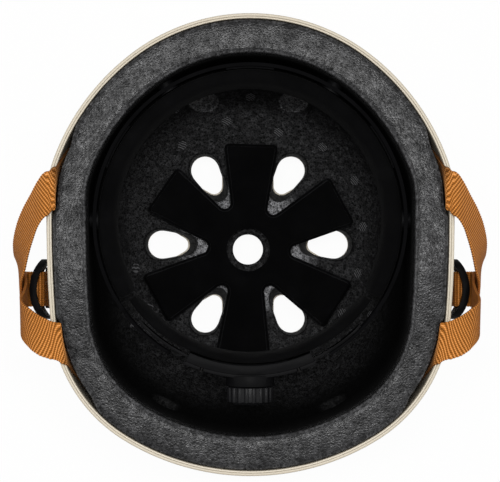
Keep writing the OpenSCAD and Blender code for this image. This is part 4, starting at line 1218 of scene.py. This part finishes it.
class HELMET_OT_stage(Operator):
    """Set the floor, the lights and the camera over the opening"""

    bl_idname = "helmet.stage"
    bl_label = "Stage"

    # Height of the rim, and the picture's middle at that height
    rim_top = 0.147
    middle_x, middle_y = -0.0003, 0.0016

    def seen(self, tree):
        """One for the rays that see the background: from the camera, a gloss or through glass."""
        path = tree.nodes.new("ShaderNodeLightPath").outputs
        straight = combined(tree, "MAXIMUM", path["Is Camera Ray"], path["Is Transmission Ray"])
        return combined(tree, "MAXIMUM", straight, path["Is Glossy Ray"])

    def floor_finish(self):
        """White floor that keeps a faint shadow where the camera sees it."""
        material, tree, shader = finish_of("white_floor", Roughness=0.9)
        shader.inputs["Base Color"].default_value = (0.8, 0.8, 0.8, 1)
        glow = tree.nodes.new("ShaderNodeEmission")
        share = combined(tree, "MULTIPLY", self.seen(tree), 0.95)
        mix = tree.nodes.new("ShaderNodeMixShader")
        tree.links.new(share, mix.inputs["Fac"])
        tree.links.new(shader.outputs[0], mix.inputs[1])
        tree.links.new(glow.outputs[0], mix.inputs[2])
        tree.links.new(mix.outputs[0], tree.nodes["Material Output"].inputs["Surface"])
        return material

    def even_world(self, strength):
        """Plain light from all round, seen as white."""
        world = bpy.data.worlds.new("even_light")
        world.use_nodes = True
        tree = world.node_tree
        sky = tree.nodes["Background"]
        sky.inputs["Color"].default_value = (1, 1, 1, 1)
        tree.links.new(ranged(tree, self.seen(tree), strength, 1.0), sky.inputs["Strength"])
        return world

    def lamp(self, name, place, target, power, width, depth):
        data = bpy.data.lights.new(name, "AREA")
        data.shape = "RECTANGLE"
        data.energy = power
        data.size = width
        data.size_y = depth
        lamp = bpy.data.objects.new(name, data)
        lamp.location = place
        lamp.rotation_euler = (Vector(target) - Vector(place)).to_track_quat("-Z", "Y").to_euler()
        bpy.context.scene.collection.objects.link(lamp)

    def execute(self, context):
        settings = context.scene.helmet_stage
        scene = context.scene
        bpy.ops.mesh.primitive_plane_add(size=8)
        floor = bpy.context.active_object
        floor.name = "floor"
        floor.data.materials.append(self.floor_finish())
        scene.world = self.even_world(settings.sky)
        target = (0, 0, 0.12)
        fill_power = settings.key_power * 0.12
        self.lamp("overhead", (0, 0.24, 2.2), target, settings.key_power, 1.1, 0.22)
        for name, side in (("left_fill", 1), ("right_fill", -1)):
            self.lamp(name, (1.1 * side, 0, 0.9), target, fill_power, 0.8, 0.8)
        data = bpy.data.cameras.new("camera")
        data.lens = settings.lens
        data.sensor_width = 36
        data.sensor_fit = "HORIZONTAL"
        camera = bpy.data.objects.new("camera", data)
        camera.location = (-settings.camera_right, -settings.camera_back, settings.camera_height)
        # The lens is shifted by as much as keeps the rim in the picture's middle
        scale = settings.lens / data.sensor_width / (settings.camera_height - self.rim_top)
        data.shift_x = (settings.camera_right + self.middle_x) * scale
        data.shift_y = (settings.camera_back + self.middle_y) * scale
        scene.collection.objects.link(camera)
        scene.camera = camera
        scene.view_settings.view_transform = "Standard"
        return {"FINISHED"}


class HELMET_PT_panel(Panel):
    """Lists the helmet's pieces in the sidebar"""

    bl_label = "Skate Helmet"
    bl_idname = "HELMET_PT_panel"
    bl_space_type = "VIEW_3D"
    bl_region_type = "UI"
    bl_category = "Helmet"

    def draw(self, context):
        for operator in OPERATORS:
            self.layout.operator(operator.bl_idname)
        for holder in GROUPS:
            group = getattr(context.scene, holder)
            for key in group.bl_rna.properties.keys():
                if key not in ("rna_type", "name"):
                    self.layout.prop(group, key)


GROUPS = {
    "helmet_shell": ShellSizes,
    "helmet_vents": VentSizes,
    "helmet_liner": LinerSizes,
    "helmet_pads": PadSizes,
    "helmet_webbing": WebbingSizes,
    "helmet_colours": HelmetColours,
    "helmet_stage": StageSettings,
}
OPERATORS = (
    HELMET_OT_stage, HELMET_OT_shell, HELMET_OT_liner, HELMET_OT_mould_marks, HELMET_OT_pads,
    HELMET_OT_webbing, HELMET_OT_mouldings, HELMET_OT_hardware,
)


def register():
    for group in (*GROUPS.values(), *OPERATORS, HELMET_PT_panel):
        bpy.utils.register_class(group)
    for holder, group in GROUPS.items():
        setattr(bpy.types.Scene, holder, PointerProperty(type=group))


def unregister():
    for holder in GROUPS:
        delattr(bpy.types.Scene, holder)
    for group in (HELMET_PT_panel, *OPERATORS[::-1], *GROUPS.values()):
        bpy.utils.unregister_class(group)


def main():
    register()
    for operator in OPERATORS:
        family, action = operator.bl_idname.split(".")
        getattr(getattr(bpy.ops, family), action)()


if __name__ == "__main__":
    main()
